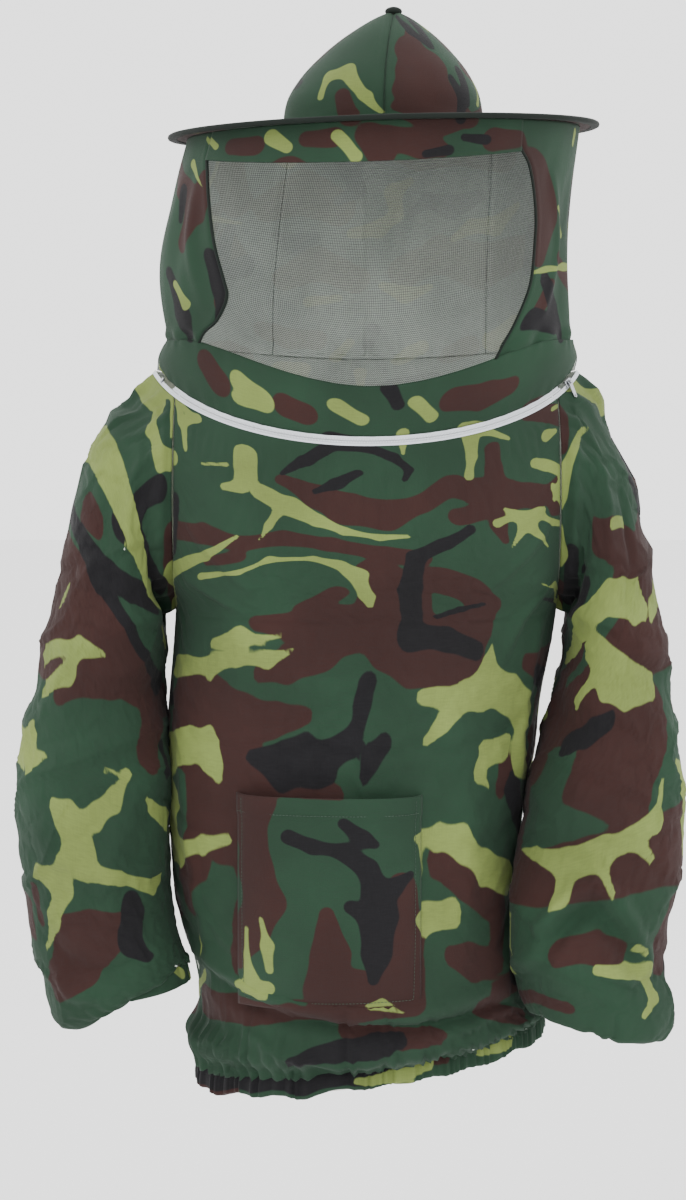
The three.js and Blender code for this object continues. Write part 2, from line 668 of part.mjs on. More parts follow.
// ---- Zip --------------------------------------------------------------------------------------
const zipRun = (from, to, count) => steps(count, rad(from), rad(to)).map(zipFrame);
const neckEnd = THREE.MathUtils.radToDeg(front.half);
const tape = (from, to, side) =>
  bar(
    zipRun(from, to, 32),
    rectangle(side * ZIP_SPLIT, side * TAPE_SHOWS, -TAPE, 0),
  );
const teeth = (from, to, side) =>
  bar(
    zipRun(from, to, 32),
    rectangle(side * ZIP_SPLIT, side * TEETH_HALF, TOUCH, TOUCH + TEETH_HEIGHT),
  );
const toDegrees = (length) => THREE.MathUtils.radToDeg(length / front.radius);
const stopCentre = ZIP_PARK + toDegrees(SLIDER_LENGTH / 2 + 2.5);
const TEETH_END = ZIP_PARK + toDegrees(SLIDER_LENGTH / 2);
const zipStop = (side) =>
  bar(
    zipRun(side * stopCentre - toDegrees(1.2), side * stopCentre + toDegrees(1.2), 2),
    rectangle(-TEETH_HALF - 0.6, TEETH_HALF + 0.6, TOUCH, TOUCH + TEETH_HEIGHT + 0.4),
  );
const sliderTop = TOUCH + TEETH_HEIGHT + SLIDER_CLEAR + SLIDER_PLATE;
const sliderHalf = TEETH_HALF + SLIDER_CLEAR + 1.3;
/** Slider: a channel that straddles the row of teeth. */
function slider() {
  const half = toDegrees(SLIDER_LENGTH / 2);
  const inner = TEETH_HALF + SLIDER_CLEAR;
  return bar(zipRun(ZIP_PARK - half, ZIP_PARK + half, 6), [
    [-sliderHalf, TOUCH],
    [-inner, TOUCH],
    [-inner, sliderTop - SLIDER_PLATE],
    [inner, sliderTop - SLIDER_PLATE],
    [inner, TOUCH],
    [sliderHalf, TOUCH],
    [sliderHalf, sliderTop],
    [-sliderHalf, sliderTop],
  ]);
}
/** Group whose X runs down the cloth, Z out of it, and whose origin is on top of the slider. */
function sliderGroup() {
  const { at, u, v } = zipFrame(rad(ZIP_PARK));
  const group = new THREE.Group();
  group.matrixAutoUpdate = false;
  group.matrix.makeBasis(u, v.clone().cross(u), v);
  group.matrix.setPosition(at.addScaledVector(v, sliderTop));
  return group;
}
/** Turn about the pin that lets the pull tab hang plumb. */
function hangAngle() {
  const { u, v } = zipFrame(rad(ZIP_PARK));
  const sideways = v.clone().cross(u);
  return Math.atan2(-sideways.z, -u.z);
}
const PULL_LIFT = 0.9; // clearance under the pull tab
const PIN_NECK = PULL_LIFT + PULL + TOUCH;
const PIN_HEAD = 1.2;
/** Headed pin on the slider that the pull tab swings on. */
function pullPin() {
  const outline = [
    [0, TOUCH],
    [PIN_RADIUS, TOUCH],
    [PIN_RADIUS, PIN_NECK],
    [PIN_RADIUS + 0.8, PIN_NECK],
    [PIN_RADIUS + 0.8, PIN_NECK + PIN_HEAD],
    [0, PIN_NECK + PIN_HEAD],
  ].map(([r, h]) => new THREE.Vector2(r, h));
  return new THREE.LatheGeometry(outline, 14).rotateX(Math.PI / 2);
}
/** Pull tab with an eye for the pin and a small hanging hole. */
function pullTab() {
  const shape = new THREE.Shape();
  const half = PULL_WIDTH / 2;
  shape.absarc(0, 0, half, Math.PI / 2, -Math.PI / 2 + 2 * Math.PI, false);
  shape.lineTo(PULL_LENGTH - half, -half * 0.8);
  shape.absarc(PULL_LENGTH - half, 0, half * 0.8, -Math.PI / 2, Math.PI / 2, false);
  shape.lineTo(0, half);
  shape.holes.push(new THREE.Path().absarc(0, 0, PIN_RADIUS + TOUCH, 0, 2 * Math.PI, true));
  shape.holes.push(new THREE.Path().absarc(PULL_LENGTH - half, 0, 0.9, 0, 2 * Math.PI, true));
  const options = { depth: PULL, bevelEnabled: false, curveSegments: 7 };
  return new THREE.ExtrudeGeometry(shape, options).translate(0, 0, PULL_LIFT);
}

// ---- Materials ----------------------------------------------------------------------------------
const finish = (color, roughness, metalness = 0) =>
  new THREE.MeshStandardMaterial({ color, roughness, metalness });
const camouflage = finish(0x2f4c3a, 0.85);
const binding = finish(0x1d2620, 0.8);
const whiteTape = finish(0xe9e9ee, 0.6);
const whiteTeeth = finish(0xf2f2f4, 0.4);
const mesh = finish(0x15171a, 0.7);
const elastic = finish(0xf0efe8, 0.75);
const steel = finish(0xb8b9bc, 0.35, 1);

// ---- Assembly -----------------------------------------------------------------------------------
const jacket = new THREE.Group();
function add(name, geometry, material, group = jacket) {
  const piece = new THREE.Mesh(geometry, material);
  piece.name = name;
  group.add(piece);
  return piece;
}

add("body_front_panel", bodyPanel(front), camouflage);
add("body_back_panel", bodyPanel(back), camouflage);
add("front_pocket", pocket(), camouflage);
add("hem_casing", bar(hemFrames, casingOutline(HEM_HEIGHT), true), camouflage);
add("hem_elastic", bar(hemFrames, elasticOutline(HEM_HEIGHT), true), elastic);

for (const name of Object.keys(SIDES)) {
  add(`sleeve_${name}`, sleeve(name), camouflage);
  add(`cuff_casing_${name}`, bar(cuffFrames(name), casingOutline(CUFF_HEIGHT), true), camouflage);
  add(`cuff_elastic_${name}`, bar(cuffFrames(name), elasticOutline(CUFF_HEIGHT), true), elastic);
}

add("zip_tape_jacket", tape(-neckEnd, neckEnd, 1), whiteTape);
add("zip_teeth_jacket", teeth(-TEETH_END, TEETH_END, 1), whiteTeeth);
add("zip_tape_hood", tape(-HOOD_TAPE_END, HOOD_TAPE_END, -1), whiteTape);
add("zip_teeth_hood", teeth(-HOOD_TAPE_END, HOOD_TAPE_END, -1), whiteTeeth);
add("zip_stop_right", zipStop(-1), steel);
add("zip_stop_left", zipStop(1), steel);
add("zip_slider", slider(), steel);
const onSlider = sliderGroup();
jacket.add(onSlider);
add("zip_pull_pin", pullPin(), steel, onSlider);
const tab = add("zip_pull_tab", pullTab(), steel, onSlider);
tab.rotation.z = hangAngle();

add("yoke_front", yoke(front), camouflage);
add("yoke_back", yoke(back), camouflage);
add("veil_visor_band", veilPanel(MESH_FROM, MESH_TO, atTop, visorFoot, CLOTH, 14, 2), camouflage);
add(
  "veil_face_mesh",
  veilPanel(MESH_FROM, MESH_TO, below(visorFoot), atFoot, MESH_THICKNESS, 14),
  mesh,
);
add("veil_side_left", veilPanel(MESH_TO, BACK_FROM, atTop, atFoot, CLOTH, 12), camouflage);
add("veil_back", veilPanel(BACK_FROM, BACK_TO, atTop, atFoot, CLOTH, 9), camouflage);
add("veil_side_right", veilPanel(BACK_TO, 360 + MESH_FROM, atTop, atFoot, CLOTH, 12), camouflage);

jacket.add(hat);
add("brim_lower_ply", brimPly(-TOUCH / 2 - BRIM_PLY), camouflage, hat);
add("brim_upper_ply", brimPly(TOUCH / 2), camouflage, hat);
add("rim_hoop", hatRing(circle(HOOP_RADIUS, 6, hoopCentre, brimRise(hoopCentre))), steel, hat);
add("rim_binding", rimBinding(), binding, hat);
add("crown_gore_front_left", crownGore(0), camouflage, hat);
add("crown_gore_back_left", crownGore(90), camouflage, hat);
add("crown_gore_back_right", crownGore(180), camouflage, hat);
add("crown_gore_front_right", crownGore(270), camouflage, hat);
const button = add("crown_button", crownButton(), binding, hat);
const [, peak] = CROWN_PROFILE.at(-1);
button.position.set(CROWN_LEAN * peak ** 2, 0, crownFoot + CROWN_HEIGHT * peak + TOUCH);
add("sweatband", sweatband(), binding, hat);

export default jacket;
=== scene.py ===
"""A pullover beekeeping jacket with a zipped-on veil hood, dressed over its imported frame.

Metres, +Z up. The front faces -Y and +X is the wearer's left. Every cloth is cut as a flat grid, laid
on its form, creased, printed and given its thickness.
"""

import json
import logging
import math
from dataclasses import dataclass
from enum import Enum
from typing import Callable, Sequence

import bmesh
import bpy
import numpy as np
from mathutils import Matrix, Vector

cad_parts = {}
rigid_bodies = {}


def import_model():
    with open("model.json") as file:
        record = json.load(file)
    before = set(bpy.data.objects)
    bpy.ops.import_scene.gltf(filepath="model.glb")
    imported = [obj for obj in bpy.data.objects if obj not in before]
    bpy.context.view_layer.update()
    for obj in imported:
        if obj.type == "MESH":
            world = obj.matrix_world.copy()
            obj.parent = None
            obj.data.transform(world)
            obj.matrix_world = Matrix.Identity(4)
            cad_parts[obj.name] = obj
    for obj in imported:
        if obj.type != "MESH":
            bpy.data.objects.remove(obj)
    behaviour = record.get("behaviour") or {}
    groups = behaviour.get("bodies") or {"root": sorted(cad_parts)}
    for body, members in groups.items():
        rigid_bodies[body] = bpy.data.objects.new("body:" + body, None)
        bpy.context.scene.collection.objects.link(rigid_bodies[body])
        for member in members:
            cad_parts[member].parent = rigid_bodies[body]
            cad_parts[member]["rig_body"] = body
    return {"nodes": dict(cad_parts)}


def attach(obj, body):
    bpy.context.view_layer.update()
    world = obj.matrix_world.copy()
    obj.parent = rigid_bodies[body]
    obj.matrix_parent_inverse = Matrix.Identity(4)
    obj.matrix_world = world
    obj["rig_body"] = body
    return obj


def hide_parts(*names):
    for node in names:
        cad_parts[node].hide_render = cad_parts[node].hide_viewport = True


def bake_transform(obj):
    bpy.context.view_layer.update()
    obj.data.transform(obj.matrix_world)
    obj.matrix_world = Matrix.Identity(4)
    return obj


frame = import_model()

log = logging.getLogger("jacket")
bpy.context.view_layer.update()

Array = np.ndarray
Point = tuple[float, float, float]
Surface = Callable[[Array, Array], Array]
MM = 0.001
FRONT, BACK = -1, 1


# ---- Small maths -----------------------------------------------------------------------------
def stack(x: Array, y: Array, z: Array) -> Array:
    """Points from their three coordinates."""
    return np.stack(np.broadcast_arrays(x, y, z), axis=-1).astype(float)


def smooth(x: Array) -> Array:
    """Smooth step from 0 to 1."""
    x = np.clip(x, 0.0, 1.0)
    return x * x * (3 - 2 * x)


def unit(v: Array) -> Array:
    """Vectors of length one."""
    return v / np.maximum(np.linalg.norm(v, axis=-1, keepdims=True), 1e-12)


def lerp(a: Array, b: Array, t: Array) -> Array:
    """Straight mix from a to b; t of points is given once for each point.

    Args:
        a: Where the mix starts.
        b: Where it ends.
        t: Shares of the way from a to b.

    Returns:
        The mix.
    """
    t = np.asarray(t, float)
    if np.ndim(a) > t.ndim:
        t = t[..., None]
    return a + (b - a) * t


def spline(knots: Array, t: Array) -> Array:
    """Points on smooth curves through knots.

    Args:
        knots: One curve for each point, as knots by points by three.
        t: How far along its curve each point lies, from 0 to 1.

    Returns:
        The points.
    """
    place = np.clip(t, 0, 1) * (len(knots) - 1)
    index = np.minimum(place.astype(int), len(knots) - 2)
    share = (place - index)[:, None]
    ends = [2 * knots[:1] - knots[1:2], knots, 2 * knots[-1:] - knots[-2:-1]]
    padded = np.concatenate(ends)
    column = np.arange(padded.shape[1])
    p0, p1, p2, p3 = (padded[index + i, column] for i in range(4))

    def gap(a: Array, b: Array) -> Array:
        """Square root of the distance between points, kept above zero."""
        return np.maximum(np.sum((a - b) ** 2, axis=-1, keepdims=True) ** 0.25, 1e-4)

    d0, d1, d2 = gap(p0, p1), gap(p1, p2), gap(p2, p3)
    leave = ((p1 - p0) / d0 - (p2 - p0) / (d0 + d1) + (p2 - p1) / d1) * d1
    reach = ((p2 - p1) / d1 - (p3 - p1) / (d1 + d2) + (p3 - p2) / d2) * d1
    cubic = 2 * p1 - 2 * p2 + leave + reach
    square = -3 * p1 + 3 * p2 - 2 * leave - reach
    return p1 + share * (leave + share * (square + share * cubic))


def level_out(angle: Array) -> Array:
    """Level unit vectors, for angles from the front towards the wearer's left."""
    return stack(np.sin(angle), -np.cos(angle), 0 * angle)


def knots_for(points: Sequence[Point], count: int) -> Array:
    """The same knots for each of count points."""
    return np.repeat(np.array(points, float)[:, None, :], count, axis=1)


def noise(x: Array, y: Array, seed: float = 0.0) -> Array:
    """Smooth noise from about -0.7 to 0.7, one wave to a unit.

    Args:
        x: Places across.
        y: Places up.
        seed: Sets one noise apart from another.

    Returns:
        The noise.
    """
    xi, yi = np.floor(x), np.floor(y)
    fx, fy = x - xi, y - yi

    def corner(i: int, j: int) -> Array:
        """Pull of the random slope at a corner of each cell."""
        h = np.sin((xi + i) * 127.1 + (yi + j) * 311.7 + seed * 74.7) * 43758.5453
        turn = 2 * np.pi * (h - np.floor(h))
        return np.cos(turn) * (fx - i) + np.sin(turn) * (fy - j)

    u, v = fx**3 * (fx * (6 * fx - 15) + 10), fy**3 * (fy * (6 * fy - 15) + 10)
    low = corner(0, 0) * (1 - u) + corner(1, 0) * u
    high = corner(0, 1) * (1 - u) + corner(1, 1) * u
    return low * (1 - v) + high * v


def ridges(x: Array, y: Array, seed: float = 0.0) -> Array:
    """Soft ridges from 0 to 1, as cloth shows where it has folded on itself."""
    return (1 - np.minimum(np.abs(noise(x, y, seed)) * 2.6, 1)) ** 2


# ---- The print, its painted shade and the creases ----------------------------------------------
class Dye(Enum):
    """The dyes printed over the ground colour, in the order in which they are printed; brown and black also carry
    painted shade.
    """

    BROWN = 0
    BLACK = 1
    LIGHT = 2


# The strokes of the print and of painted shade, by dye: points (across, up, half the width), in millimetres
# from the middle of the neckline, as they lie on the finished jacket seen from three metres in front.
PRINT_AND_SHADE_STROKES: dict[Dye, list[Sequence[Point]]] = {
    Dye.BROWN: [
        # body
        [(-85, -106, 6), (-50, -122, 14), (-20, -135, 20), (20, -142, 18), (55, -130, 10), (85, -110, 12)],
        [(85, -112, 12), (110, -118, 15), (140, -120, 14), (172, -124, 11)], [(125, -75, 8), (127, -95, 9),
        (130, -118, 13), (133, -150, 9), (138, -166, 4)], [(-190, -158, 10), (-165, -160, 12),
        (-125, -170, 10), (-85, -164, 9), (-40, -170, 9), (20, -180, 10)], [(20, -180, 10),
        (50, -185, 14)], [(-158, -188, 5), (-130, -182, 9)], [(10, -195, 18), (25, -220, 25),
        (10, -245, 25), (-30, -248, 26), (-70, -250, 14), (-108, -248, 7)], [(-30, -218, 8),
        (-60, -237, 12)], [(-45, -275, 16), (-80, -290, 10), (-108, -299, 4)], [(25, -265, 22),
        (50, -282, 18), (80, -288, 16), (105, -295, 12), (110, -310, 6)], [(70, -205, 22), (100, -215, 20),
        (118, -230, 16), (105, -255, 20), (80, -260, 22)], [(42, -205, 16), (42, -262, 20)],
        [(-182, -318, 16), (-168, -336, 28), (-130, -350, 15), (-95, -350, 8), (-62, -345, 3)],
        [(-185, -345, 25), (-145, -370, 20), (-130, -400, 22), (-140, -430, 25), (-120, -465, 14)],
        [(-165, -415, 16), (-150, -445, 16), (-170, -462, 6)], [(-110, -412, 12), (-62, -418, 8),
        (-28, -425, 3)], [(-110, -432, 14), (-118, -462, 12), (-115, -500, 15), (-105, -535, 17),
        (-118, -562, 16), (-130, -592, 8)], [(-165, -488, 12), (-182, -505, 10), (-174, -535, 6)],
        [(-42, -548, 4), (-38, -590, 14), (-40, -625, 18), (-10, -628, 18), (38, -625, 16)],
        [(35, -520, 12), (42, -560, 13), (40, -600, 16), (38, -625, 14)], [(-160, -640, 14),
        (-120, -650, 10), (-70, -648, 8), (-20, -655, 8)], [(70, -490, 7), (95, -505, 8), (120, -525, 10),
        (135, -550, 12), (132, -592, 9)], [(85, -590, 5), (105, -597, 11), (125, -595, 10)],
        [(122, -645, 12), (148, -650, 12)], [(70, -668, 6), (20, -672, 8), (-20, -668, 8)],
        [(140, -398, 10), (136, -410, 8)], [(160, -42, 8), (172, -40, 10), (192, -44, 13)],
        # sleeve on the wearer's right
        [(-278, -135, 8), (-268, -155, 6)], [(-308, -312, 8), (-255, -303, 12), (-220, -308, 18),
        (-215, -340, 16), (-222, -380, 15)], [(-302, -588, 22), (-275, -575, 20), (-245, -560, 12)],
        [(-310, -616, 16), (-285, -605, 16)], [(-336, -528, 6), (-330, -550, 4)],
        # sleeve on the wearer's left
        [(228, -160, 8), (246, -170, 12), (262, -186, 18), (252, -208, 14)], [(262, -258, 9),
        (280, -268, 13), (276, -300, 5)], [(225, -378, 17), (265, -375, 23), (287, -368, 18),
        (265, -410, 24), (212, -414, 12)], [(292, -345, 14), (290, -365, 14)], [(298, -478, 7),
        (292, -500, 5)], [(256, -590, 8), (230, -580, 8), (196, -585, 9)],
        # crown, brim, visor band and veil sides
        [(38, 318, 14), (62, 300, 20), (44, 278, 16), (66, 275, 16)], [(-24, 272, 6), (-18, 255, 9)],
        [(-134, 222, 8), (-112, 224, 9)], [(2, 234, 11), (14, 216, 11)], [(127, 230, 12), (148, 230, 9)],
        [(172, 190, 12), (180, 150, 16), (172, 118, 12)], [(180, 82, 9), (168, 58, 8)], [(-168, 160, 10),
        (-160, 188, 10)],
        # yoke
        [(-158, 8, 10), (-146, -10, 12)], [(-80, -34, 10), (-62, -42, 10)], [(84, -28, 10), (115, -25, 10),
        (142, -15, 7)],
        # painted shade laid in the dyes: under the brim along the visor band, down the sides of the veil and over
        # the crown's right side, away from the light
        [(44, 330, 10), (52, 296, 24), (74, 262, 26), (100, 250, 8)], [(36, 262, 10), (60, 256, 12)],
        [(20, 232, 10), (56, 226, 12), (74, 220, 6)], [(-60, 230, 6), (-34, 232, 8)], [(-188, 205, 8),
        (-172, 168, 14), (-184, 128, 8)], [(170, 205, 14), (178, 160, 18), (166, 122, 10)], [(190, 112, 6),
        (200, 78, 8)],
        # behind the net window, where only the repeat on the back of the veil shows
        [(-120, 170, 14), (-78, 190, 20), (-30, 178, 12), (4, 190, 8)], [(60, 120, 16), (100, 136, 22),
        (140, 118, 14)], [(-140, 70, 12), (-96, 52, 20), (-50, 66, 16), (-10, 48, 12)], [(40, 40, 12),
        (84, 56, 14), (120, 40, 10)],
    ],
    Dye.BLACK: [
        # body
        [(-85, -100, 4), (-62, -88, 11), (-35, -72, 12), (0, -76, 10), (25, -84, 8), (42, -97, 6),
        (38, -107, 5)], [(-52, -118, 5), (-30, -110, 10), (-10, -100, 7)], [(103, -155, 7), (78, -170, 10),
        (50, -182, 11), (42, -215, 11), (44, -262, 11), (80, -265, 9), (112, -279, 7)], [(70, -243, 4),
        (95, -235, 5), (116, -230, 4)], [(0, -310, 10), (-4, -330, 8), (-8, -352, 5), (-16, -372, 8),
        (-48, -390, 10), (-85, -395, 13), (-118, -382, 4)], [(-62, -370, 8), (-74, -386, 9)],
        [(17, -370, 8), (4, -388, 7), (-2, -402, 5)], [(-60, -402, 8), (-35, -411, 3)], [(-80, -468, 7),
        (-55, -479, 7), (-22, -484, 8), (0, -500, 9), (10, -525, 13), (12, -552, 17), (10, -590, 13),
        (6, -615, 7)], [(-23, -455, 6), (-5, -470, 8), (8, -476, 5)], [(10, -530, 10), (26, -520, 8),
        (44, -507, 5)], [(-16, -540, 7), (0, -548, 9)], [(143, -418, 9), (150, -450, 7), (152, -480, 4)],
        [(168, -300, 7), (180, -312, 9)], [(176, -226, 4), (188, -230, 7)], [(-70, -690, 8),
        (-30, -682, 10), (10, -679, 12), (34, -672, 7)],
        # sleeve on the wearer's right
        [(-206, -120, 12), (-228, -135, 14), (-246, -148, 12), (-228, -170, 12), (-208, -212, 14)],
        [(-282, -165, 8), (-272, -198, 12), (-240, -216, 9), (-218, -228, 12)], [(-236, -540, 15),
        (-240, -575, 15), (-222, -590, 10)], [(-208, -375, 6), (-208, -400, 8)],
        # sleeve on the wearer's left
        [(205, -180, 12), (204, -225, 11), (218, -235, 8)], [(218, -196, 6), (222, -215, 7),
        (218, -235, 8)], [(200, -372, 9), (222, -362, 9), (246, -348, 6)], [(150, -608, 12),
        (182, -602, 11)],
        # crown, brim, visor band and veil sides
        [(30, 348, 8), (42, 336, 10), (60, 322, 6)], [(92, 294, 9), (99, 264, 7)], [(58, 216, 5),
        (80, 220, 7)], [(-155, 112, 12), (-145, 82, 12), (-140, 50, 10)], [(-182, 178, 8), (-186, 150, 6)],
        [(207, 180, 6), (206, 140, 7)], [(162, 52, 12), (186, 44, 10)],
        # yoke
        [(22, -16, 8), (30, -34, 6)],
        # painted shade laid in the dyes: under the brim along the visor band, down the sides of the veil and over
        # the crown's right side, away from the light
        [(34, 352, 12), (48, 340, 12), (62, 322, 8)], [(84, 288, 7), (96, 268, 8), (92, 250, 6)],
        [(96, 232, 5), (118, 230, 6)], [(-196, 96, 8), (-184, 60, 12), (-176, 36, 8)], [(176, 92, 8),
        (186, 60, 12), (194, 34, 8)],
        # behind the net window, where only the repeat on the back of the veil shows
        [(-96, 130, 8), (-64, 118, 12), (-38, 128, 8), (-20, 112, 6)], [(30, 186, 8), (48, 166, 12),
        (38, 140, 8), (60, 128, 6)], [(88, 84, 8), (110, 78, 10), (128, 88, 6)],
    ],
    Dye.LIGHT: [
        # body
        [(-122, -80, 18), (-122, -102, 18)], [(-165, -91, 4), (-141, -91, 5)], [(-144, -113, 6),
        (-125, -112, 12)], [(-108, -118, 12), (-78, -132, 14), (-50, -146, 9), (-23, -157, 6),
        (12, -164, 6), (41, -162, 5)], [(-90, -140, 8), (-98, -152, 6), (-108, -166, 3)], [(-130, -163, 6),
        (-160, -182, 10), (-192, -200, 18)], [(-165, -203, 9), (-128, -198, 5), (-98, -186, 7),
        (-55, -184, 6), (-28, -190, 8)], [(-28, -190, 8), (-10, -200, 12), (0, -222, 8), (3, -233, 5)],
        [(-152, -271, 5), (-128, -265, 9), (-108, -267, 4), (-88, -262, 4)], [(-128, -266, 8),
        (-128, -282, 7), (-150, -291, 7), (-190, -295, 9)], [(-128, -286, 6), (-100, -287, 6),
        (-75, -277, 3)], [(-155, -292, 7), (-155, -302, 5)], [(36, -62, 8), (36, -82, 5)], [(95, -56, 8),
        (118, -58, 9), (142, -66, 5)], [(104, -62, 13), (105, -85, 9), (102, -103, 8)], [(138, -136, 5),
        (160, -148, 13), (178, -136, 5)], [(158, -150, 11), (146, -172, 4)], [(162, -150, 11),
        (182, -174, 4)], [(127, -272, 3), (123, -292, 9), (120, -315, 15), (95, -325, 10), (55, -322, 7)],
        [(95, -330, 9), (78, -348, 7), (60, -370, 5)], [(122, -310, 13), (145, -322, 14), (160, -345, 14),
        (155, -365, 15), (152, -385, 11), (160, -405, 5)], [(140, -378, 10), (118, -384, 8),
        (112, -400, 6), (125, -417, 3)], [(-176, -368, 9), (-158, -376, 14), (-150, -394, 10)],
        [(-176, -372, 12), (-195, -388, 12), (-201, -415, 12), (-190, -440, 12), (-193, -465, 13),
        (-184, -486, 8)], [(-186, -484, 8), (-163, -475, 5), (-138, -465, 4)], [(-122, -562, 4),
        (-122, -590, 4), (-118, -612, 10)], [(-107, -552, 3), (-101, -580, 6), (-99, -605, 6)],
        [(-124, -622, 9), (-101, -624, 8)], [(-167, -570, 4), (-163, -588, 3)], [(-168, -612, 6),
        (-175, -630, 7), (-168, -660, 6)], [(50, -470, 4), (72, -465, 8), (94, -476, 9), (118, -495, 9),
        (142, -510, 11)], [(54, -472, 5), (55, -503, 2)], [(58, -552, 11), (86, -545, 12)], [(58, -555, 9),
        (57, -570, 3)], [(0, -642, 3), (15, -638, 4), (38, -645, 2)], [(-10, -722, 4), (30, -714, 6),
        (60, -700, 8)], [(115, -693, 4), (145, -675, 8)],
        # sleeve on the wearer's right
        [(-213, 5, 12), (-212, -28, 18), (-213, -60, 9), (-206, -90, 11)], [(-205, -22, 10),
        (-190, -28, 8), (-172, -46, 5)], [(-206, -88, 10), (-192, -86, 11)], [(-323, -284, 7),
        (-290, -275, 7), (-264, -283, 4)], [(-288, -278, 8), (-298, -300, 8), (-325, -318, 6)],
        [(-337, -362, 8), (-338, -390, 7), (-318, -383, 3)], [(-317, -432, 5), (-300, -452, 13),
        (-290, -482, 18), (-306, -492, 7)], [(-264, -400, 4), (-242, -402, 5), (-255, -428, 9),
        (-274, -446, 9), (-292, -455, 8)], [(-285, -500, 9), (-250, -510, 6), (-214, -518, 7),
        (-206, -508, 5)], [(-334, -502, 6), (-306, -515, 12), (-317, -550, 8), (-324, -582, 4)],
        [(-298, -214, 3), (-308, -232, 4)], [(-243, -172, 2), (-222, -192, 2)],
        # sleeve on the wearer's left
        [(168, -90, 9), (200, -102, 9), (218, -58, 4)], [(195, -105, 8), (188, -126, 5)], [(243, -152, 5),
        (258, -148, 5)], [(240, -228, 14), (268, -228, 14), (276, -240, 8)], [(240, -230, 17),
        (216, -258, 20), (202, -285, 12)], [(225, -272, 14), (242, -300, 16), (262, -312, 15),
        (286, -312, 10)], [(230, -302, 10), (211, -332, 6)], [(297, -412, 5), (290, -450, 8),
        (262, -470, 7), (238, -482, 11), (205, -494, 11), (170, -484, 6), (158, -478, 4)],
        [(202, -500, 11), (200, -522, 11), (191, -535, 6)], [(236, -492, 7), (247, -524, 5)],
        [(270, -470, 6), (288, -490, 5)], [(232, -602, 5), (262, -604, 7), (282, -606, 9), (290, -630, 9),
        (280, -650, 6)], [(272, -578, 4), (280, -584, 4)],
        # crown, brim, visor band and veil sides
        [(-46, 270, 6), (-38, 290, 8), (-18, 296, 9), (-2, 272, 8), (14, 256, 5)], [(110, 290, 6),
        (110, 262, 6)], [(-158, 230, 5), (-150, 222, 6)], [(-95, 232, 10), (-80, 222, 8)], [(-30, 234, 8),
        (-12, 214, 8)], [(-172, 205, 6), (-163, 182, 3)], [(206, 236, 6), (204, 224, 5)], [(188, 162, 5),
        (196, 134, 5)], [(166, 98, 4), (200, 103, 5)], [(-190, 86, 6), (-178, 66, 8)],
        # yoke
        [(-126, -10, 12), (-104, -28, 12), (-128, -26, 8)], [(-30, -34, 10), (-6, -48, 9)], [(48, -30, 8),
        (64, -46, 8)],
        # behind the net window, where only the repeat on the back of the veil shows
        [(-130, 116, 6), (-110, 96, 11), (-84, 96, 8), (-66, 84, 6)], [(-20, 150, 6), (0, 138, 10),
        (-4, 112, 8), (16, 96, 10), (46, 92, 6)], [(96, 184, 6), (116, 172, 10), (138, 176, 6)],
        [(-40, 30, 6), (-12, 22, 9), (12, 32, 6)], [(60, 18, 6), (92, 14, 8)],
    ],
}
DYE_SPREAD = {Dye.BROWN: -0.0025, Dye.BLACK: 0.0006, Dye.LIGHT: 0.0018}  # how each dye ran or shrank
VIEW_DISTANCE = 3.0  # the strokes lie as seen from here, in front of the neckline
BACK_OFFSET = (0.031, -0.058)  # the repeat of the print that falls on the back
REACH = 0.02  # how far from a cloth a mark may lie and still count


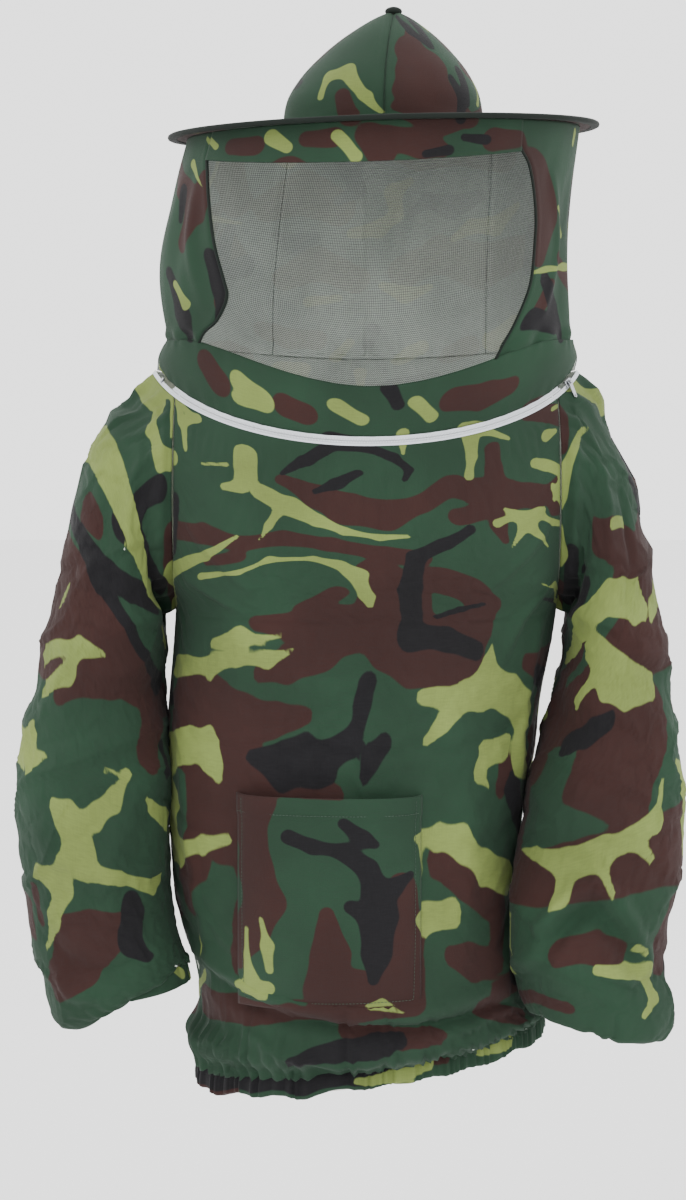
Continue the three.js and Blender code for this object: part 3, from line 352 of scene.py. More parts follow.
@dataclass
class LaidCloth:
    """Where each vertex of a cloth lies, in space and on the flat cloth."""

    points: Array
    normals: Array
    flat: Array  # across and down the flat cloth, in metres
    girth: float  # distance round a closed cloth, or 0

    def seen(self, side: int) -> tuple[Array, Array]:
        """Vertices that show from the front or the back, and where they are seen.

        Args:
            side: FRONT or BACK.

        Returns:
            The indices of the vertices, and their places across and up in the view.
        """
        shown = np.flatnonzero(self.normals[:, 1] * side > -0.05)
        points = self.points[shown]
        scale = VIEW_DISTANCE / (VIEW_DISTANCE - side * points[:, 1])
        across = points[:, 0] * scale
        if side == BACK:
            across = BACK_OFFSET[0] - across
        up = points[:, 2] * scale + (BACK_OFFSET[1] if side == BACK else 0.0)
        return shown, np.stack([across, up], axis=-1)

    def trace(self, marks: Sequence[Array], side: int, reach: float) -> list[Array]:
        """Lays marks of the view on the flat cloth.

        Args:
            marks: Lists of points as seen: across, up, and any further values.
            side: FRONT or BACK.
            reach: How far from the cloth a mark may lie and still count.

        Returns:
            The marks that touch the cloth, as places on the flat cloth.
        """
        shown, view = self.seen(side)
        if len(shown) < 40:
            return []
        spread = view - view.mean(axis=0)
        flat = self.flat[shown]
        along = [np.sum((flat[:, i] - flat[:, i].mean()) * spread[:, i]) for i in range(2)]
        turn = np.sign(along)
        low, high = view.min(axis=0) - reach, view.max(axis=0) + reach
        found = []
        for mark in marks:
            if not np.any(np.all((mark[:, :2] > low) & (mark[:, :2] < high), axis=1)):
                continue
            apart = np.linalg.norm(view[None, :, :] - mark[:, None, :2], axis=2)
            near = apart.argmin(axis=1)
            if apart.min() > reach:
                continue
            laid = mark.copy()
            laid[:, :2] = flat[near] + (mark[:, :2] - view[near]) * turn
            found.append(laid)
        return found

    def beside(self, a: Array, b: Array) -> tuple[Array, Array]:
        """Where each vertex lies beside a straight stretch on the flat cloth.

        Args:
            a: Start of the stretch, across and down.
            b: End of the stretch.

        Returns:
            The share along the stretch, and the distance from it.
        """
        away = self.flat - a
        if self.girth:
            away[:, 0] -= self.girth * np.round(away[:, 0] / self.girth)
        way = b - a
        share = np.clip(away @ way / max(way @ way, 1e-9), 0, 1)
        return share, np.linalg.norm(away - share[:, None] * way, axis=1)

    def distance(self, marks: Sequence[Array], blend: float) -> Array:
        """Distance of each vertex from the nearest of the marks, along the flat cloth.

        Args:
            marks: Lists of points on the flat cloth: across, down, and half the width.
            blend: How softly neighbouring marks run together.

        Returns:
            The distances, below zero inside a mark.
        """
        total = np.full(len(self.points), -0.08 / blend)
        for mark in marks:
            for a, b in zip(mark[:-1], mark[1:]):
                share, apart = self.beside(a[:2], b[:2])
                width = a[2] + (b[2] - a[2]) * share
                total = np.logaddexp(total, (width - apart) / blend)
        return -blend * total


@dataclass(frozen=True)
class Crease:
    """A fold of the cloth: a line of points seen from in front, its half width and its height."""

    line: Sequence[tuple[float, float]]  # millimetres
    width: float
    height: float
    side: int = FRONT


def print_and_shade_values(cloth: LaidCloth) -> Array:
    """Distance of each vertex from each dye of the print, painted shade included.

    Args:
        cloth: The laid cloth.

    Returns:
        One column for each dye.
    """
    columns = []
    for dye in Dye:
        marks = [np.array(line, float) * MM for line in PRINT_AND_SHADE_STROKES[dye]]
        laid = [mark for side in (FRONT, BACK) for mark in cloth.trace(marks, side, REACH)]
        columns.append(cloth.distance(laid, 0.0025) + DYE_SPREAD[dye])
    return np.stack(columns, axis=-1)


def crease_height(cloth: LaidCloth, creases: Sequence[Crease]) -> Array:
    """Height of the creases over each vertex.

    Args:
        cloth: The laid cloth.
        creases: The creases, which count only where they touch the cloth.

    Returns:
        The heights along the normals.
    """
    total = np.zeros(len(cloth.points))
    for crease in creases:
        line = np.array(crease.line, float) * MM
        shares = np.linspace(0, 1, 4 * len(line))
        fine = spline(knots_for([(x, z, 0) for x, z in line], len(shares)), shares)[:, :2]
        for mark in cloth.trace([fine], crease.side, REACH):
            height = np.zeros(len(cloth.points))
            for i, (a, b) in enumerate(zip(mark[:-1], mark[1:])):
                share, apart = cloth.beside(a, b)
                taper = np.sin(np.pi * (0.08 + 0.84 * (i + share) / (len(mark) - 1))) ** 0.7
                here = taper * np.exp(-((apart / crease.width) ** 2))
                height = np.maximum(height, here)
            total += crease.height * height
    return total


# ---- Finishes ----------------------------------------------------------------------------------
def new_group(name: str, inputs: dict[str, str], outputs: dict[str, str]) -> bpy.types.NodeTree:
    """A shader node group with its sockets.

    Args:
        name: The group's name.
        inputs: Socket names and kinds that it takes.
        outputs: Socket names and kinds that it gives.

    Returns:
        The empty group.
    """
    group = bpy.data.node_groups.new(name, "ShaderNodeTree")
    for way, sockets in (("INPUT", inputs), ("OUTPUT", outputs)):
        for socket, kind in sockets.items():
            group.interface.new_socket(socket, in_out=way, socket_type=f"NodeSocket{kind}")
    return group


class NodeWriter:
    """Adds nodes to a tree and joins them in few words."""

    def __init__(self, tree: bpy.types.NodeTree) -> None:
        """Starts on a tree."""
        self.tree = tree

    def add(self, kind: str, inputs: dict | None = None, **settings: object) -> bpy.types.Node:
        """Adds a node.

        Args:
            kind: The node's type without ShaderNode.
            inputs: Values or sockets for its inputs, by name or number.
            settings: Attributes of the node.

        Returns:
            The node.
        """
        node = self.tree.nodes.new(kind if kind.startswith("Node") else f"ShaderNode{kind}")
        for key, value in settings.items():
            setattr(node, key, value)
        for key, value in (inputs or {}).items():
            if isinstance(value, bpy.types.NodeSocket):
                self.tree.links.new(value, node.inputs[key])
            else:
                node.inputs[key].default_value = value
        return node

    def maths(self, operation: str, *values: object) -> bpy.types.NodeSocket:
        """The result of a Math node on values or sockets."""
        inputs = dict(enumerate(values))
        return self.add("Math", inputs, operation=operation).outputs[0]

    def mix(self, share: object, low: object, high: object) -> bpy.types.NodeSocket:
        """A mix of two colours."""
        inputs = {"Factor": share, 6: low, 7: high}
        return self.add("Mix", inputs, data_type="RGBA").outputs[2]

    def ramp(self, value: object, low: float, high: float) -> bpy.types.NodeSocket:
        """A value turned into a soft mask that rises from low to high."""
        inputs = {"Value": value, "From Min": low, "From Max": high}
        return self.add("MapRange", inputs, interpolation_type="SMOOTHSTEP").outputs[0]


def new_material(name: str) -> tuple[bpy.types.Material, NodeWriter, bpy.types.Node]:
    """A plain material to build on.

    Args:
        name: The material's name.

    Returns:
        The material, a writer for its nodes, and its shader.
    """
    material = bpy.data.materials.new(name)
    material.use_nodes = True
    return material, NodeWriter(material.node_tree), material.node_tree.nodes["Principled BSDF"]


def thread_group() -> bpy.types.NodeTree:
    """Woven threads on the flat cloth: a height and a slight change of shade from thread to thread.

    Returns:
        The group.
    """
    group = new_group("woven_threads", {"Pitch": "Float"}, {"Height": "Float", "Shade": "Float"})
    pen = NodeWriter(group)
    given = pen.add("NodeGroupInput")
    flat = pen.add("UVMap", uv_map="cloth").outputs[0]
    place = pen.add("SeparateXYZ", {0: flat})
    turns = pen.maths("DIVIDE", 2 * math.pi, given.outputs["Pitch"])
    warp = pen.maths("SINE", pen.maths("MULTIPLY", place.outputs[0], turns))
    weft = pen.maths("SINE", pen.maths("MULTIPLY", place.outputs[1], turns))
    weave = pen.maths("MULTIPLY", warp, weft)
    slubs = []
    for scale in ((90.0, 900.0, 1.0), (1100.0, 70.0, 1.0)):
        stretched = pen.add("Mapping", {"Vector": flat, "Scale": scale}).outputs[0]
        grain = pen.add("TexNoise", {"Vector": stretched, "Scale": 1.0, "Detail": 2.0}).outputs[0]
        slubs.append(grain)
    slub = pen.maths("ADD", slubs[0], pen.maths("MULTIPLY", slubs[1], 0.6))
    height = pen.maths("ADD", pen.maths("MULTIPLY", weave, 0.35), slub)
    out = pen.add("NodeGroupOutput")
    group.links.new(height, out.inputs["Height"])
    group.links.new(slub, out.inputs["Shade"])
    return group


def print_and_shade_group() -> bpy.types.NodeTree:
    """The printed pattern and its painted shade: each dye is shown where its distance, wobbled a little, is below
    zero.

    Returns:
        The group.
    """
    names = ("Ground", "Brown", "Black", "Light")
    group = new_group("camouflage_print_and_shade", {name: "Color" for name in names}, {"Color": "Color"})
    pen = NodeWriter(group)
    given = pen.add("NodeGroupInput")
    flat = pen.add("UVMap", uv_map="cloth").outputs[0]
    wave = pen.add("TexNoise", {"Vector": flat, "Scale": 26.0, "Detail": 1.0}).outputs[0]
    wobble = pen.maths("MULTIPLY", pen.maths("SUBTRACT", wave, 0.5), 0.006)
    # the print attribute also carries the painted shade laid in the dyes
    attribute = pen.add("Attribute", attribute_name="print").outputs["Vector"]
    apart = pen.add("SeparateXYZ", {0: attribute})
    colour = given.outputs["Ground"]
    for dye in Dye:
        edge = pen.maths("ADD", apart.outputs[dye.value], wobble)
        bare = pen.ramp(edge, -0.0007, 0.0007)
        colour = pen.mix(bare, given.outputs[dye.name.title()], colour)
    out = pen.add("NodeGroupOutput")
    group.links.new(colour, out.inputs[0])
    return group


GROUPS: dict[str, bpy.types.NodeTree] = {}


def group_node(pen: NodeWriter, name: str, make: Callable[[], bpy.types.NodeTree]) -> bpy.types.Node:
    """Places a shared group in a material, building it the first time.

    Args:
        pen: The writer of the material's nodes.
        name: The group's short name.
        make: Builds the group.

    Returns:
        The placed group.
    """
    if name not in GROUPS:
        GROUPS[name] = make()
    node = pen.add("Group")
    node.node_tree = GROUPS[name]
    return node


Colour = tuple[float, float, float, float]


def srgb(red: int, green: int, blue: int) -> Colour:
    """A colour given in display values from 0 to 255.

    Args:
        red: The red value.
        green: The green value.
        blue: The blue value.

    Returns:
        The colour, in linear values.
    """

    def linear(value: int) -> float:
        """A display value as a share of full light."""
        share = value / 255
        return share / 12.92 if share <= 0.04045 else ((share + 0.055) / 1.055) ** 2.4

    return (linear(red), linear(green), linear(blue), 1.0)


@dataclass(frozen=True)
class PrintedCloth:
    """Thin woven polyester printed in four colours. Its reverse shows the print only faintly."""

    name: str
    ground: Colour = srgb(24, 47, 32)
    brown: Colour = srgb(41, 21, 18)
    black: Colour = srgb(11, 10, 13)
    light: Colour = srgb(100, 113, 58)
    pitch: float = 0.0011
    bump: float = 0.00022

    def build(self) -> bpy.types.Material:
        """The material.

        Returns:
            The material.
        """
        material, pen, shader = new_material(self.name)
        dyes = group_node(pen, "print", print_and_shade_group)
        colours = (self.ground, self.brown, self.black, self.light)
        for name, value in zip(("Ground", "Brown", "Black", "Light"), colours):
            dyes.inputs[name].default_value = value
        threads = group_node(pen, "threads", thread_group)
        threads.inputs["Pitch"].default_value = self.pitch
        place = pen.add("TexCoord").outputs["Object"]
        worn = pen.add("TexNoise", {"Vector": place, "Scale": 9.0, "Detail": 4.0}).outputs[0]
        shade = pen.maths("ADD", pen.ramp(worn, 0.3, 0.75), threads.outputs["Shade"])
        tone = pen.add("MapRange", {"Value": shade, "From Min": 0.4, "From Max": 2.0, "To Min": 0.72,
                                    "To Max": 1.3})
        grey = pen.add("CombineColor", {i: tone.outputs[0] for i in range(3)}).outputs[0]
        dyed = pen.add("Mix", {"Factor": 1.0, 6: dyes.outputs[0], 7: grey}, data_type="RGBA",
                       blend_type="MULTIPLY")
        links = material.node_tree.links
        links.new(dyed.outputs[2], shader.inputs["Base Color"])
        rough = pen.add("MapRange", {"Value": threads.outputs["Shade"], "To Min": 0.66, "To Max": 0.9})
        links.new(rough.outputs[0], shader.inputs["Roughness"])
        shader.inputs["Sheen Weight"].default_value = 0.03
        shader.inputs["Sheen Roughness"].default_value = 0.5
        shader.inputs["Specular IOR Level"].default_value = 0.22
        raised = pen.add("Bump", {"Height": threads.outputs["Height"], "Distance": self.bump,
                                  "Strength": 0.6})
        links.new(raised.outputs[0], shader.inputs["Normal"])
        return material


@dataclass(frozen=True)
class PlainFinish:
    """A finish of one colour, with grain in its shade, roughness and surface."""

    name: str
    colour: Colour
    roughness: float = 0.7
    metallic: float = 0.0
    grain: float = 900.0
    depth: float = 0.00008
    spread: float = 0.25
    specular: float = 0.5

    def build(self) -> bpy.types.Material:
        """The material.

        Returns:
            The material.
        """
        material, pen, shader = new_material(self.name)
        place = pen.add("TexCoord").outputs["Object"]
        fine = pen.add("TexNoise", {"Vector": place, "Scale": self.grain, "Detail": 3.0}).outputs[0]
        broad = pen.add("TexNoise", {"Vector": place, "Scale": 40.0, "Detail": 3.0}).outputs[0]
        mixed = pen.maths("ADD", pen.maths("MULTIPLY", fine, 0.6), pen.maths("MULTIPLY", broad, 0.4))
        limits = {"Value": mixed, "From Min": 0.3, "From Max": 0.7}
        tone = pen.add("MapRange", {**limits, "To Min": 1 - self.spread, "To Max": 1 + self.spread / 2})
        grey = pen.add("CombineColor", {i: tone.outputs[0] for i in range(3)}).outputs[0]
        base = pen.add("Mix", {"Factor": 1.0, 6: self.colour, 7: grey}, data_type="RGBA",
                       blend_type="MULTIPLY")
        links = material.node_tree.links
        links.new(base.outputs[2], shader.inputs["Base Color"])
        low, high = max(0.05, self.roughness - 0.1), min(1.0, self.roughness + 0.1)
        rough = pen.add("MapRange", {**limits, "To Min": low, "To Max": high})
        links.new(rough.outputs[0], shader.inputs["Roughness"])
        shader.inputs["Metallic"].default_value = self.metallic
        shader.inputs["Specular IOR Level"].default_value = self.specular
        raised = pen.add("Bump", {"Height": fine, "Distance": self.depth, "Strength": 0.5})
        links.new(raised.outputs[0], shader.inputs["Normal"])
        return material


@dataclass(frozen=True)
class NetFinish:
    """Fine dark net: opaque threads with open holes between them."""

    name: str
    colour: Colour = srgb(34, 38, 40)
    pitch: float = 0.0021
    thread: float = 0.88  # share of a wave that is hole
    cover: float = 0.55  # how much light a thin thread stops

    def build(self) -> bpy.types.Material:
        """The material.

        Returns:
            The material.
        """
        material, pen, shader = new_material(self.name)
        flat = pen.add("UVMap", uv_map="cloth").outputs[0]
        place = pen.add("SeparateXYZ", {0: flat})
        masks = []
        for axis in range(2):
            turned = pen.maths("MULTIPLY", place.outputs[axis], 2 * math.pi / self.pitch)
            wave = pen.maths("ADD", pen.maths("MULTIPLY", pen.maths("SINE", turned), 0.5), 0.5)
            masks.append(pen.ramp(wave, self.thread, self.thread + 0.12))
        threads = pen.maths("MAXIMUM", masks[0], masks[1])
        veil = pen.maths("MULTIPLY", threads, self.cover)
        shader.inputs["Base Color"].default_value = self.colour
        shader.inputs["Roughness"].default_value = 0.6
        material.node_tree.links.new(veil, shader.inputs["Alpha"])
        raised = pen.add("Bump", {"Height": threads, "Distance": 0.0001, "Strength": 0.4})
        material.node_tree.links.new(raised.outputs[0], shader.inputs["Normal"])
        return material


OUTSIDE = PrintedCloth("camouflage_cloth")
# Pale reverse: partly the cloth's own faintly printed back, partly painted light standing for light that shines
# through the thin cloth, seen through the net.
REVERSE_WITH_PAINTED_LIGHT = PrintedCloth(
    "camouflage_reverse_painted_light",
    ground=srgb(196, 203, 195),
    brown=srgb(193, 196, 187),
    black=srgb(188, 193, 187),
    light=srgb(207, 212, 195),
    pitch=0.0016,
    bump=0.0003,
)
PIPING = PlainFinish("dark_binding", srgb(12, 20, 15), roughness=0.8, specular=0.2)
ZIP_TAPE = PlainFinish("white_tape", srgb(196, 200, 205), roughness=0.7, spread=0.1)
ZIP_TEETH = PlainFinish("white_teeth", srgb(214, 217, 221), roughness=0.32, grain=300.0, depth=0.00002,
                        spread=0.06)
NICKEL = PlainFinish("nickel", srgb(176, 178, 182), roughness=0.28, metallic=1.0, grain=700.0,
                     depth=0.00003)
WIRE = PlainFinish("spring_wire", srgb(150, 152, 156), roughness=0.4, metallic=1.0)
ELASTIC_FINISH = PlainFinish("elastic", srgb(232, 231, 222), roughness=0.8, spread=0.15)
THREAD = PlainFinish("sewing_thread", srgb(44, 62, 50), roughness=0.6)
NET = NetFinish("face_mesh")

Finish = PrintedCloth | PlainFinish | NetFinish
MADE: dict[str, bpy.types.Material] = {}


def material_of(finish: Finish) -> bpy.types.Material:
    """The material of a finish, built the first time."""
    if finish.name not in MADE:
        MADE[finish.name] = finish.build()
    return MADE[finish.name]


# ---- Cutting and laying cloth --------------------------------------------------------------------
@dataclass
class Sewing:
    """How a cloth piece joins the rest: what it replaces and moves with."""

    replaces: Sequence[str]
    body: str
    held: str = "hung"
    rests_on: Sequence[str] = ()
    slot: str = "camouflage_cloth"
    blend: tuple[str, str, Point, Point] | None = None


@dataclass
class Cloth:
    """A cloth cut flat as a grid and laid on a form."""

    name: str
    surface: Surface
    inside: Point
    columns: int
    rows: int
    width: float
    length: float
    closed: bool = False
    thickness: float = 0.0009
    creases: Sequence[Crease] = ()
    relief: Callable[[Array, Array, "LaidCloth"], Array] | None = None
    finishes: Sequence[Finish] = (OUTSIDE, REVERSE_WITH_PAINTED_LIGHT)
    slack: float = 1.03
    relaxed: "Relaxing | None" = None
    sides_meet: bool = False  # the side edges meet a neighbour's, so both move straight outwards

    def cut(self) -> bmesh.types.BMesh:
        """The flat cloth as a grid with its corner coordinates.

        Returns:
            The grid.
        """
        mesh = bmesh.new()
        mesh.loops.layers.uv.new("cloth")
        bmesh.ops.create_grid(mesh, x_segments=self.columns, y_segments=self.rows, size=0.5, calc_uvs=True)
        mesh.verts.ensure_lookup_table()
        return mesh

    def laid(self, u: Array, v: Array) -> LaidCloth:
        """The cloth on its form, with its outward normals.

        Args:
            u: Shares across the cloth.
            v: Shares down the cloth.

        Returns:
            The laid cloth.
        """
        step = 0.004
        points = self.surface(u, v)
        if self.closed:
            across = self.surface((u + step) % 1, v) - self.surface((u - step) % 1, v)
        else:
            across = self.surface(np.minimum(u + step, 1), v) - self.surface(np.maximum(u - step, 0), v)
        down = self.surface(u, np.minimum(v + step, 1)) - self.surface(u, np.maximum(v - step, 0))
        normals = unit(np.cross(across, down))
        facing = np.sum((points - np.array(self.inside)) * normals, axis=-1)
        if np.median(facing[v <= v.min() + 0.3]) < 0:
            normals = -normals
        if self.sides_meet:
            normals[:, 1] *= smooth(np.minimum(u, 1 - u) / 0.06)
            normals = unit(normals)
        flat = np.stack([u * self.width, v * self.length], axis=-1)
        return LaidCloth(points, normals, flat, self.width if self.closed else 0.0)

    def lay(self) -> bpy.types.Object:
        """Lays, creases and prints the cloth.

        Returns:
            The object, one sheet without thickness.
        """
        mesh = self.cut()
        corners = np.array([vert.co[:2] for vert in mesh.verts])
        low, high = corners.min(axis=0), corners.max(axis=0)
        u, v = ((corners - low) / (high - low)).T
        cloth = self.laid(u, v)
        values = print_and_shade_values(cloth) if isinstance(self.finishes[0], PrintedCloth) else None
        rise = crease_height(cloth, self.creases)
        if self.relief:
            rise = rise + self.relief(u, v, cloth)
        placed = cloth.points + cloth.normals * rise[:, None]
        # the print attribute also carries the painted shade laid in the dyes
        layer = mesh.verts.layers.float_vector.new("print")
        held = mesh.verts.layers.float.new("edge")
        kept = list(mesh.verts)
        for i, vert in enumerate(kept):
            vert.co = placed[i]
            vert[held] = self.edge_hold(u[i], v[i])
            if values is not None:
                vert[layer] = values[i]
        cuts = mesh.loops.layers.uv["cloth"]
        for face in mesh.faces:
            for loop in face.loops:
                loop[cuts].uv = (loop[cuts].uv.x * self.width, loop[cuts].uv.y * self.length)
            face.smooth = True
        mesh.normal_update()
        ahead = {vert: Vector(cloth.normals[i]) for i, vert in enumerate(kept)}
        outward = sum(face.normal.dot(ahead[face.verts[0]]) for face in mesh.faces if face.verts[0] in ahead)
        if outward < 0:
            bmesh.ops.reverse_faces(mesh, faces=mesh.faces)
        if self.closed:
            border = [vert for vert in mesh.verts if vert.is_boundary]
            bmesh.ops.remove_doubles(mesh, verts=border, dist=2e-5)
        data = bpy.data.meshes.new(self.name)
        mesh.to_mesh(data)
        mesh.free()
        piece = bpy.data.objects.new(self.name, data)
        bpy.context.scene.collection.objects.link(piece)
        return piece

    def edge_hold(self, u: float, v: float) -> float:
        """How firmly a vertex is sewn: 1 at a sewn edge, falling to 0 inside the cloth.

        Args:
            u: Shares across the cloth.
            v: Shares down the cloth.

        Returns:
            The hold.
        """
        gaps = [v * self.length, (1 - v) * self.length]
        if not self.closed:
            gaps += [u * self.width, (1 - u) * self.width]
        return float(max(0.0, 1 - min(gaps) / 0.03))

    def make(self, sewing: Sewing) -> bpy.types.Object:
        """Makes the finished piece.

        Args:
            sewing: What it replaces and moves with.

        Returns:
            The piece, with its thickness and finishes.
        """
        piece = self.lay()
        if self.relaxed:
            self.relaxed.settle(piece)
        for finish in self.finishes:
            piece.data.materials.append(material_of(finish))
        wall = piece.modifiers.new("wall", "SOLIDIFY")
        wall.thickness = self.thickness
        wall.offset = -1
        wall.use_even_offset = False
        wall.material_offset = len(self.finishes) - 1
        area = sum(polygon.area for polygon in piece.data.polygons) * self.slack
        width, length = self.width * self.slack, self.length * self.slack
        bpy.context.view_layer.update()
        if sewing.blend:
            a, b, start, end = sewing.blend
            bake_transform(piece)
            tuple(start)
            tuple(end)
        else:
            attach(piece, sewing.body)
        if sewing.replaces:
            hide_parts(*sewing.replaces)
        if min(width, length) > 0.01:
            area = min(area, width * length)
            list(sewing.rests_on)
        log.info("%s: cut %.0f x %.0f mm, %.3f square metres", self.name, width / MM, length / MM, area)
        return piece


@dataclass(frozen=True)
class Relaxing:
    """A short fall of the cloth, held at its seams, that lets its spare width buckle into folds."""

    spare: float = 0.02
    steps: int = 22
    hold: float = 0.25
    mass: float = 0.12
    stiffness: float = 12.0
    bending: float = 0.35

    def settle(self, piece: bpy.types.Object) -> None:
        """Runs the fall on a piece and keeps its result.

        Args:
            piece: The laid cloth.
        """
        edge = np.zeros(len(piece.data.vertices), np.float32)
        piece.data.attributes["edge"].data.foreach_get("value", edge)
        group = piece.vertex_groups.new(name="sewn")
        weights = self.hold + (1 - self.hold) * smooth(edge * 1.5)
        for i, weight in enumerate(weights):
            group.add([i], float(weight), "REPLACE")
        fall = piece.modifiers.new("fall", "CLOTH")
        settings = fall.settings
        settings.quality = 5
        settings.mass = self.mass
        settings.tension_stiffness = self.stiffness
        settings.compression_stiffness = self.stiffness
        settings.shear_stiffness = self.stiffness / 2
        settings.bending_stiffness = self.bending
        settings.air_damping = 2.0
        settings.vertex_group_mass = group.name
        settings.pin_stiffness = 0.6
        settings.shrink_min = -self.spare
        fall.collision_settings.use_collision = False
        fall.point_cache.frame_start = 1
        fall.point_cache.frame_end = self.steps
        scene = bpy.context.scene
        for step in range(1, self.steps + 1):
            scene.frame_set(step)
        depsgraph = bpy.context.evaluated_depsgraph_get()
        result = piece.evaluated_get(depsgraph).to_mesh()
        moved = np.zeros(len(result.vertices) * 3, np.float32)
        laid = np.zeros(len(result.vertices) * 3, np.float32)
        result.vertices.foreach_get("co", moved)
        piece.data.vertices.foreach_get("co", laid)
        moved = lerp(moved, laid, np.repeat(smooth(edge * 1.3), 3)).astype(np.float32)
        piece.modifiers.remove(fall)
        piece.vertex_groups.remove(group)
        piece.data.vertices.foreach_set("co", moved)
        piece.data.update()
        scene.frame_set(1)


# ---- The neckline and the body -------------------------------------------------------------------
SEAM = 0.0005  # gap between two cloths that are sewn together
CLOTH_GAP = 0.0008  # gap along a curved seam
CASING_DEPTH = 0.0054  # distance between the walls of a turned casing
NECK_HALF = 0.210
ZIP_LEAN = math.radians(50)
ZIP_EDGE = 0.0046  # where the cloth starts beside the zip
UNDERARM = 0.5  # share down the body at which the armhole ends


@dataclass(frozen=True)
class NeckArc:
    """A circular arc from shoulder to shoulder."""

    reach: float
    drop: float
    side: int

    @property
    def sagitta(self) -> float:
        """Height of the arc over its chord."""
        return math.hypot(self.reach, self.drop)

    @property
    def radius(self) -> float:
        """Radius of the arc."""
        return (NECK_HALF**2 + self.sagitta**2) / (2 * self.sagitta)

    @property
    def half(self) -> float:
        """Half of the arc's angle."""
        return math.acos((self.radius - self.sagitta) / self.radius)

    @property
    def middle(self) -> Array:
        """Unit vector from the centre to the middle of the arc."""
        return np.array([0.0, self.side * self.reach, -self.drop]) / self.sagitta

    @property
    def normal(self) -> Array:
        """Unit vector out of the arc's plane, upwards."""
        turned = np.array([0.0, -self.middle[2], self.middle[1]])
        return turned * np.sign(turned[2])

    @property
    def centre(self) -> Array:
        """Centre of the arc."""
        return self.middle * (self.sagitta - self.radius)

    @property
    def flare(self) -> float:
        """How much a step down the cloth leads away from the centre."""
        return math.cos(ZIP_LEAN) if self.side == FRONT else 0.6

    def out(self, angle: Array) -> Array:
        """Unit vectors from the centre to the arc, at angles from its middle."""
        angle = np.asarray(angle, float)
        along = stack(np.sin(angle), 0 * angle, 0 * angle)
        return along + self.middle * np.cos(angle)[..., None]

    def frame(self, angle: Array) -> tuple[Array, Array, Array]:
        """The zip's frame: points on the teeth line, the way down the tape, and out of its face.

        Args:
            angle: Angles from the front.

        Returns:
            The points, the way down the tape and the way out of its face.
        """
        outward = self.out(angle)
        down = outward * math.cos(ZIP_LEAN) - self.normal * math.sin(ZIP_LEAN)
        face = outward * math.sin(ZIP_LEAN) + self.normal * math.cos(ZIP_LEAN)
        return self.centre + outward * self.radius, down, face

    def point(self, share: Array, below: Array) -> Array:
        """Points beside the neckline, share -1 to 1 from the right to the left shoulder.

        Args:
            share: Shares from -1 at the right shoulder to 1 at the left.
            below: Distances below the neckline.

        Returns:
            The points.
        """
        below = np.broadcast_to(below, np.shape(share))[..., None]
        at, down, _ = self.frame(np.asarray(share) * self.half)
        if self.side == BACK:
            down = self.out(np.asarray(share) * self.half) * self.flare + np.array([0, 0, -0.8])
        return at + down * below

    def armhole_share(self, below: float) -> float:
        """Share at which the armhole seam meets a line below the neckline."""
        return math.asin(BODY_HALF_WIDTH / (self.radius + below * self.flare)) / self.half


BODY_HALF_WIDTH = 0.189
UNDERARM_DROP = 0.238
FRONT_NECK = NeckArc(0.140, 0.066, FRONT)
BACK_NECK = NeckArc(0.116, 0.022, BACK)


